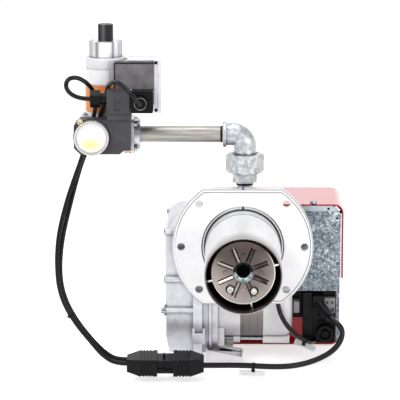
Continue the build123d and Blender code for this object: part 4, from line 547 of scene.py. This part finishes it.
finishes = {
    # aluminium, sand cast and shot blasted: dull light grey with a fine grain
    "sandCastAluminium": {"tones": ("#DADADF", "#C6C6CD"), "mottle": 16, "grain": 0.9, "depth": 0.12,
                          "rough": (0.36, 0.5), "metallic": 0.8, "edge": 0.5, "paintedCornerShade": (12, "#85858D")},
    # aluminium, machined face with a clear lacquer: nearly white under soft light
    "facedAluminium": {"tones": ("#F3F3F4", "#E6E6E8"), "mottle": 22, "grain": 0.7, "depth": 0.03,
                       "rough": (0.34, 0.44), "metallic": 0.5, "edge": 0.5, "paintedCornerShade": (3, "#77777C"),
                       "pattern": facedEdgeShade},
    # ceramic paper, calendered: white and flat with the faintest grain
    "ceramicPaper": {"tones": ("#FBFBFC", "#F3F3F5"), "mottle": 30, "grain": 0.8, "depth": 0.02,
                     "rough": (0.6, 0.75), "paintedCornerShade": (1.6, "#8A8A90"), "pattern": cutEdgeShade},
    # stainless steel tube, satin rolled outside and burnt inside, with painted shade beside its rolled bead
    "stainlessTube": {"tones": ("#F0F0F1", "#E4E4E6"), "mottle": 20, "grain": 0.6, "depth": 0.02,
                      "stretch": (1, 0.12, 1), "rough": (0.3, 0.42), "metallic": 0.6, "edge": 0.3,
                      "pattern": sootAndBeadShade},
    # stainless sheet, pressed and tinted by heat: grey brown, with painted highlights on its ridges and rim
    # and painted shade above
    "annealedSheet": {"tones": ("#9C928D", "#6B5F5C"), "mottle": 12, "grain": 0.5, "depth": 0.03,
                      "rough": (0.24, 0.36), "metallic": 1.0, "edge": 0.4, "paintedCornerShade": (2.2, "#231C1A"),
                      "pattern": heatTintAndPaintedLight},
    # zinc-coated tube of the gas head, bright with a cold cast, and painted shade in the top of its mouth
    "coldTube": {"tones": ("#D4E2E1", "#AEC2C2"), "mottle": 8, "grain": 0.5, "depth": 0.02,
                 "rough": (0.25, 0.4), "metallic": 0.8, "edge": 0.2, "pattern": shadedMouthTop},
    # alumina, glazed: white and smooth
    "glazedAlumina": {"tones": ("#F7F5F1", "#ECE9E3"), "mottle": 6, "grain": 0.5, "depth": 0.01,
                      "rough": (0.12, 0.2), "edge": 0.3, "paintedCornerShade": (2, "#4A3C36")},
    # steel, bright zinc plated: glints on its edges, reflects its dark surroundings, and has painted shade in
    # its corners
    "zincSteel": {"tones": ("#C3C6CB", "#A0A3AA"), "mottle": 6, "grain": 0.4, "depth": 0.015,
                  "rough": (0.2, 0.34), "metallic": 1.0, "edge": 0.3, "paintedCornerShade": (2, "#3C3E42")},
    # electrical sheet, stacked and varnished: fine lines on a warm grey, with painted shade darkening it
    # downwards
    "statorStack": {"tones": ("#8F8B8B", "#7B7777"), "mottle": 18, "grain": 0.8, "depth": 0.12,
                    "rough": (0.4, 0.55), "metallic": 0.7, "pattern": sheetLinesAndShade},
    # copper wire, enamelled and wound: reddish brown with a metallic glint
    "enamelledCopper": {"tones": ("#A3562C", "#7C3C1C"), "mottle": 5, "grain": 1.0, "depth": 0.3,
                        "rough": (0.25, 0.4), "metallic": 0.9},
    # steel sheet, gloss enamelled red: even and saturated, with soft highlights
    "redEnamel": {"tones": ("#C60A14", "#B90610"), "mottle": 60, "grain": 1.6, "depth": 0.02,
                  "rough": (0.2, 0.28), "edge": 0.5, "paintedCornerShade": (6, "#4A0509"),
                  "sockets": {"Specular IOR Level": 0.15, "Coat Weight": 1.0, "Coat Roughness": 0.08,
                              "Coat IOR": 1.42}},
    # steel sheet, hot-dip galvanised: blue grey with a mosaic of zinc crystals
    "galvanisedSheet": {"tones": ("#93A0AC", "#76828E"), "mottle": 22, "grain": 1.4, "depth": 0.05,
                        "rough": (0.28, 0.5), "metallic": 0.9, "edge": 0.3, "paintedCornerShade": (3, "#2C343B"),
                        "pattern": spangleAndFoldHighlight},
    # polyamide, moulded black: little shine, so its edges are what shows
    "blackPolyamide": {"tones": ("#0E0E10", "#161619"), "mottle": 14, "grain": 0.7, "depth": 0.05,
                       "rough": (0.26, 0.38), "edge": 0.6, "paintedCornerShade": (4, "#040405"),
                       "sockets": {"Specular IOR Level": 0.13}},
    # polyamide, moulded black with fine ribs, with a painted sheen at its front and side
    "ribbedPolyamide": {"tones": ("#1B1B1D", "#232325"), "mottle": 14, "grain": 0.7, "depth": 0.05,
                        "rough": (0.3, 0.42), "edge": 0.4,
                        "sockets": {"Specular IOR Level": 0.2}, "pattern": paintedRibSheen},
    # glass-filled polyamide, moulded dark grey: matt, with edges a little lighter
    "greyPolyamide": {"tones": ("#4E4D52", "#434247"), "mottle": 16, "grain": 0.8, "depth": 0.06,
                      "rough": (0.42, 0.56), "edge": 0.6, "paintedCornerShade": (3, "#0C0C0D"),
                      "sockets": {"Specular IOR Level": 0.18}},
    # epoxy resin, cast round the coil: mid grey with cloudy patches
    "castEpoxy": {"tones": ("#7A777B", "#605D62"), "mottle": 15, "grain": 0.6, "depth": 0.04,
                  "rough": (0.36, 0.5), "edge": 0.4, "sockets": {"Specular IOR Level": 0.35},
                  "pattern": blackFrame},
    # ABS, moulded light grey: matt and slightly uneven
    "paleAbs": {"tones": ("#A19EA3", "#8B898D"), "mottle": 5, "grain": 0.7, "depth": 0.04,
                "rough": (0.4, 0.5), "edge": 0.4, "paintedCornerShade": (3, "#2C2A2C")},
    # paper-faced dial disc: white, with a printed ring and a yellow patch
    "dialDisc": {"tones": ("#FFFAFD", "#FAF6F8"), "mottle": 12, "grain": 0.5, "depth": 0.01,
                 "rough": (0.4, 0.5), "edge": 0.3, "pattern": dialScale},
    # polypropylene, moulded red: dull and dark beside the enamel
    "redKnob": {"tones": ("#A81C18", "#97150F"), "mottle": 9, "grain": 0.5, "depth": 0.02,
                "rough": (0.3, 0.4), "edge": 0.4},
    # polycarbonate sleeve, moulded orange: light and even
    "orangeSleeve": {"tones": ("#FFA559", "#F48A3B"), "mottle": 12, "grain": 0.8, "depth": 0.03,
                     "rough": (0.3, 0.42), "edge": 0.4},
    # polycarbonate, clear but hazy with age
    "clearPolycarbonate": {"tones": ("#FFFFFF", "#FCFCFD"), "mottle": 20, "grain": 2.0, "depth": 0.005,
                           "rough": (0.04, 0.08),
                           "sockets": {"Transmission Weight": 0.9, "IOR": 1.25}},
    # brass, turned: pale gold, with painted shade in its corners
    "turnedBrass": {"tones": ("#F0E2B8", "#D6C188"), "mottle": 4, "grain": 0.3, "depth": 0.02,
                    "rough": (0.2, 0.32), "metallic": 1.0, "edge": 0.2, "paintedCornerShade": (1.5, "#5A4420")},
    # malleable iron, cast and hot-dip galvanised: pale, with shallow dimples
    "galvanisedMalleable": {"tones": ("#D6D8DB", "#9A9EA2"), "mottle": 5, "grain": 1.3, "depth": 0.35,
                            "rough": (0.28, 0.46), "metallic": 0.9, "edge": 0.6, "paintedCornerShade": (5, "#3E4144")},
    # steel pipe, drawn: long faint streaks
    "drawnPipe": {"tones": ("#B9B6B0", "#94918B"), "mottle": 2.2, "grain": 0.7, "depth": 0.04,
                  "stretch": (0.05, 1, 1), "rough": (0.4, 0.52), "metallic": 0.95},
    # aluminium, die cast and tumbled: light grey, smoother and shinier than sand castings
    "dieCastAluminium": {"tones": ("#D6D7DB", "#BFC0C6"), "mottle": 11, "grain": 0.6, "depth": 0.05,
                         "rough": (0.28, 0.4), "metallic": 0.85, "edge": 0.4, "paintedCornerShade": (3, "#7C7E84")},
    # steel sheet, bright zinc plated and passivated: nearly white
    "plainZincSheet": {"tones": ("#ECECF1", "#D9DAE1"), "mottle": 8, "grain": 0.6, "depth": 0.02,
                       "rough": (0.34, 0.46), "metallic": 0.6, "edge": 0.4, "paintedCornerShade": (1.2, "#8A8A92")},
    # aluminium, painted light grey: nearly white with a soft shine
    "paintedBell": {"tones": ("#ECEAEC", "#E3E0E3"), "mottle": 24, "grain": 1.0, "depth": 0.06,
                    "rough": (0.4, 0.52), "metallic": 0.3, "edge": 0.6, "paintedCornerShade": (5, "#8C8A8E")},
    # plasticised PVC, extruded: black with a dull shine
    "cableSheath": {"tones": ("#0D0D0E", "#131314"), "mottle": 18, "grain": 1.2, "depth": 0.04,
                    "rough": (0.2, 0.26), "sockets": {"Specular IOR Level": 0.26}},
    # polyamide, undyed: milky white and faintly see-through
    "naturalPolyamide": {"tones": ("#FAFAF9", "#F1F0EE"), "mottle": 8, "grain": 0.6, "depth": 0.02,
                         "rough": (0.35, 0.5), "sockets": {"Transmission Weight": 0.35, "IOR": 1.53}},
    # coated paper: bluish white
    "coatedPaper": {"tones": ("#FFFFFF", "#FAFCFF"), "mottle": 20, "grain": 0.5, "depth": 0.008,
                    "rough": (0.35, 0.45)},
    # graphite sealing paste, and the dark ring that stands for the shade round the tube: black and dull
    "graphitePaste": {"tones": ("#1A1A1A", "#2A2A2A"), "mottle": 2.5, "grain": 0.8, "depth": 0.2,
                      "rough": (0.5, 0.7), "sockets": {"Specular IOR Level": 0.2}},
    # aluminium, turned and fluted: painted highlights on the ribs, painted shade in the hollows
    "flutedAluminium": {"tones": ("#E6E6E9", "#D6D6DA"), "mottle": 9, "grain": 0.5, "depth": 0.02,
                        "rough": (0.26, 0.36), "metallic": 0.7, "edge": 0.4, "paintedCornerShade": (4, "#606268"),
                        "pattern": fluteHighlightsAndShade},
}
materials = {name: makeFinish(name, look) for name, look in finishes.items()}

finishOfNode = {
    "sandCastAluminium": ["burner_housing", "volute_cover", "gas_manifold", "support_bracket"],
    "facedAluminium": ["mounting_flange"],
    "ceramicPaper": ["flange_seal"],
    "stainlessTube": ["blast_tube"],
    "annealedSheet": ["diffuser_disc"],
    "coldTube": ["gas_head"],
    "glazedAlumina": ["ignition_electrode", "flame_probe"],
    "zincSteel": ["clamp_screw", "head_screw", "housing_screws", "flange_screws",
                  "motor_tie_rods", "air_damper", "fan_wheel", "motor_bearings", "motor_rotor"],
    "plainZincSheet": ["coil_bracket"],
    "statorStack": ["motor_stator"],
    "enamelledCopper": ["motor_winding"],
    "redEnamel": ["cover_hood"],
    "galvanisedSheet": ["mounting_plate", "panel_screws"],
    "blackPolyamide": ["control_base", "burner_plug", "sensor_socket", "motor_capacitor", "coil_plug",
                       "cable_glands", "connector_plug", "connector_socket"],
    "ribbedPolyamide": ["regulator_cap"],
    "greyPolyamide": ["control_box", "pressure_switch", "switch_plug"],
    "castEpoxy": ["solenoid_coil"],
    "paleAbs": ["terminal_block"],
    "dialDisc": ["switch_dial"],
    "redKnob": ["reset_button"],
    "orangeSleeve": ["regulator_sleeve"],
    "clearPolycarbonate": ["switch_cover"],
    "turnedBrass": ["test_nipples"],
    "galvanisedMalleable": ["gas_nipple", "union_nut", "gas_elbow"],
    "drawnPipe": ["gas_pipe"],
    "dieCastAluminium": ["valve_body", "outlet_flange"],
    "flutedAluminium": ["regulator_bonnet"],
    "paintedBell": ["motor_inner_bell", "motor_outer_bell", "air_intake", "regulator_housing"],
}


def dress(piece, finish):
    piece.data.materials.clear()
    piece.data.materials.append(materials[finish])


for finish, names in finishOfNode.items():
    for name in names:
        dress(nodes[name], finish)
for piece in leadPieces.values():
    dress(piece, "cableSheath")
print("finishes done")


def keepPiece(mesh, name, body, finish):
    bmesh.ops.recalc_face_normals(mesh, faces=mesh.faces)
    data = bpy.data.meshes.new(name)
    mesh.to_mesh(data)
    mesh.free()
    piece = bpy.data.objects.new(name, data)
    bpy.context.scene.collection.objects.link(piece)
    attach(piece, body)
    dress(piece, finish)


def addSlab(mesh, middle, size, rounding, turn=Matrix.Identity(3)):
    # block with rounded edges, turned before it is put in place
    stretch = Matrix.Diagonal((*(v * mm for v in size), 1))
    place = Matrix.Translation(Vector(middle) * mm) @ turn.to_4x4() @ stretch
    corners = bmesh.ops.create_cube(mesh, size=1.0, matrix=place)["verts"]
    edges = list({edge for corner in corners for edge in corner.link_edges})
    bmesh.ops.bevel(mesh, geom=edges, offset=rounding * mm, offset_type="OFFSET", segments=2, profile=0.5,
                    affect="EDGES", material=-1)


def addRing(mesh, middle, axis, inner, outer, length, steps=56):
    # square-edged ring, spun from its section
    axis, middle = Vector(axis).normalized(), Vector(middle)
    out = axis.orthogonal().normalized()
    section = [(inner, -length / 2), (outer, -length / 2), (outer, length / 2), (inner, length / 2)]
    corners = [mesh.verts.new((middle + out * r + axis * h) * mm) for r, h in section]
    sides = [mesh.edges.new((corners[i - 1], corners[i])) for i in range(4)]
    bmesh.ops.spin(mesh, geom=corners + sides, cent=middle * mm, axis=axis, angle=math.tau, steps=steps,
                   use_merge=True)


def frameAlong(way, across):
    # columns: across, square to both, along the way
    way = Vector(way).normalized()
    square = way.cross(Vector(across)).normalized()
    return Matrix((square.cross(way), square, way)).transposed()


cableTies = {
    "leadTie": {"middle": (-226.2, -7.2, -90.8), "way": (15, -4.2, -23.5), "across": (3.5, 6.5, -1.5),
                "half": (7.9, 4.2), "head": (0, -4.7)},
    "burnerTie": {"middle": (14.7, -16.2, -157.7), "way": (22.6, 4, -2.3), "across": (0, 0, 1),
                  "half": (4.6, 4.6), "head": (-6.2, 0)},
    "sensorTie": {"middle": (84.4, 43.2, -138.1), "way": (9, 9, -6.5), "across": (0, 0, 1),
                  "half": (3.8, 3.8), "head": (-5.4, 0)},
}


def makeTie(name, tie, band=2.6, thick=0.9, headSize=(4.4, 3.4, 4.6)):
    mesh = bmesh.new()
    wide, deep = tie["half"]
    addRing(mesh, (0, 0, 0), (0, 0, 1), wide - thick, wide, band)
    bmesh.ops.scale(mesh, vec=(1, deep / wide, 1), verts=mesh.verts)
    addSlab(mesh, (*tie["head"], 0), headSize, 0.5)
    place = Matrix.Translation(Vector(tie["middle"]) * mm) @ frameAlong(tie["way"], tie["across"]).to_4x4()
    bmesh.ops.transform(mesh, matrix=place, verts=mesh.verts)
    keepPiece(mesh, name, "burner", "blackPolyamide")


blankTags = {
    "burnerTag": {"middle": (12.5, -16.2, -167.2), "size": (34, 1.0, 7.2), "droop": 2},
    "sensorTag": {"middle": (84.6, 54.0, -147.6), "size": (30, 1.0, 7.4), "droop": 22},
}


def makeTag(name, tag):
    mesh = bmesh.new()
    addSlab(mesh, tag["middle"], tag["size"], 0.4, Matrix.Rotation(math.radians(tag["droop"]), 3, "Y"))
    keepPiece(mesh, name, "burner", "naturalPolyamide")


sealingRings = {
    # the first ring is a dark ring that stands for the shade in the gap between the flange's collar and the
    # tube
    "tubeGapShadeRing": {"middle": (0, 0.9, 0), "axis": (0, 1, 0), "inner": 49.35, "outer": 50.5, "length": 3.0},
    "pipePaste": {"middle": (-28.2, 45, 143.5), "axis": (1, 0, 0),
                  "inner": 10.6, "outer": 11.1, "length": 3.6},
    "nipplePaste": {"middle": (2.5, 45, 77.2), "axis": (0, 0, 1),
                    "inner": 10.4, "outer": 11.3, "length": 3.4},
}
plasticRings = {
    "windowRim": {"middle": (dialCentre[0], -25.7, dialCentre[1]), "axis": (0, 1, 0),
                  "inner": 20.9, "outer": 22.6, "length": 1.2},
    # a pale ring that stands for the highlight on the rim of the coil plug's gland nut
    "glandHighlightRing": {"middle": (-133.5, -25.6, 195), "axis": (0, 1, 0),
                  "inner": 7.75, "outer": 8.0, "length": 1.0},
}


def makeRing(name, ring, finish):
    mesh = bmesh.new()
    addRing(mesh, **ring)
    keepPiece(mesh, name, "burner", finish)


towerLabel = {"axis": towerAxis, "radius": 26.6, "low": 212.8, "high": 231.0, "from": -74, "to": 10,
              "thick": 0.12, "steps": 20}


def makeTowerLabel(label):
    mesh = bmesh.new()
    x0, y0 = label["axis"]
    start = math.radians(label["from"])
    ends = [mesh.verts.new(((x0 + label["radius"] * math.sin(start)) * mm,
                            (y0 - label["radius"] * math.cos(start)) * mm, z * mm))
            for z in (label["low"], label["high"])]
    edge = mesh.edges.new(ends)
    bmesh.ops.spin(mesh, geom=[*ends, edge], cent=(x0 * mm, y0 * mm, 0), axis=(0, 0, 1),
                   angle=math.radians(label["to"] - label["from"]), steps=label["steps"])
    bmesh.ops.solidify(mesh, geom=list(mesh.faces), thickness=label["thick"] * mm)
    keepPiece(mesh, "towerLabel", "burner", "coatedPaper")


bracketScrews = {"places": [(-114.2, 8.0, 244.2), (-114.2, 8.0, 181.5)], "radius": 2.1, "height": 1.8}
valveScrews = {"places": [(-210, 63, 166), (-203, 60, 166), (-196, 57, 166)], "radius": 3.2, "height": 3.4}
motorTerminals = {
    "strip": {"middle": (75.5, 100, -92), "size": (13, 30, 50), "rounding": 1.0,
              "slot": "black_plastic", "finish": "blackPolyamide"},
    "block": {"middle": (73.2, 77, -98), "size": (8.2, 20, 16), "rounding": 0.8,
              "slot": "grey_plastic", "finish": "paleAbs"},
}
foldedEdge = {"strip": {"middle": (132.1, 63.4, -12), "size": (2.1, 1.6, 89)},
              "corner": {"middle": (127.15, 63.4, 39.15), "size": (8.6, 1.6, 3.2)}, "rounding": 0.5}


def makeScrews(name, screws, axis, finish):
    mesh = bmesh.new()
    turn = Vector((0, 0, 1)).rotation_difference(Vector(axis)).to_matrix().to_4x4()
    for place in screws["places"]:
        middle = Vector(place) + Vector(axis) * screws["height"] / 2
        bmesh.ops.create_cone(mesh, cap_ends=True, segments=24, radius1=screws["radius"] * mm,
                              radius2=screws["radius"] * 0.9 * mm, depth=screws["height"] * mm,
                              matrix=Matrix.Translation(middle * mm) @ turn)
    keepPiece(mesh, name, "burner", finish)


def makeTerminals(parts):
    for name, part in parts.items():
        mesh = bmesh.new()
        addSlab(mesh, part["middle"], part["size"], part["rounding"])
        keepPiece(mesh, "motorTerminal" + name.capitalize(), "burner", part["finish"])


def makeFoldedEdge(fold):
    # the radius of the plate's side fold, which closes the gap to the hood
    mesh = bmesh.new()
    addSlab(mesh, fold["strip"]["middle"], fold["strip"]["size"], fold["rounding"])
    addSlab(mesh, fold["corner"]["middle"], fold["corner"]["size"], fold["rounding"],
            Matrix.Rotation(math.radians(45), 3, "Y"))
    keepPiece(mesh, "plateFoldedEdge", "burner", "plainZincSheet")


for name, tie in cableTies.items():
    makeTie(name, tie)
for name, tag in blankTags.items():
    makeTag(name, tag)
for name, ring in sealingRings.items():
    makeRing(name, ring, "graphitePaste")
for name, ring in plasticRings.items():
    makeRing(name, ring, "naturalPolyamide")
makeTowerLabel(towerLabel)
makeScrews("bracketScrews", bracketScrews, (0, -1, 0), "blackPolyamide")
makeScrews("valveScrews", valveScrews, (0, 0, 1), "zincSteel")
makeTerminals(motorTerminals)
makeFoldedEdge(foldedEdge)
print("small pieces done")
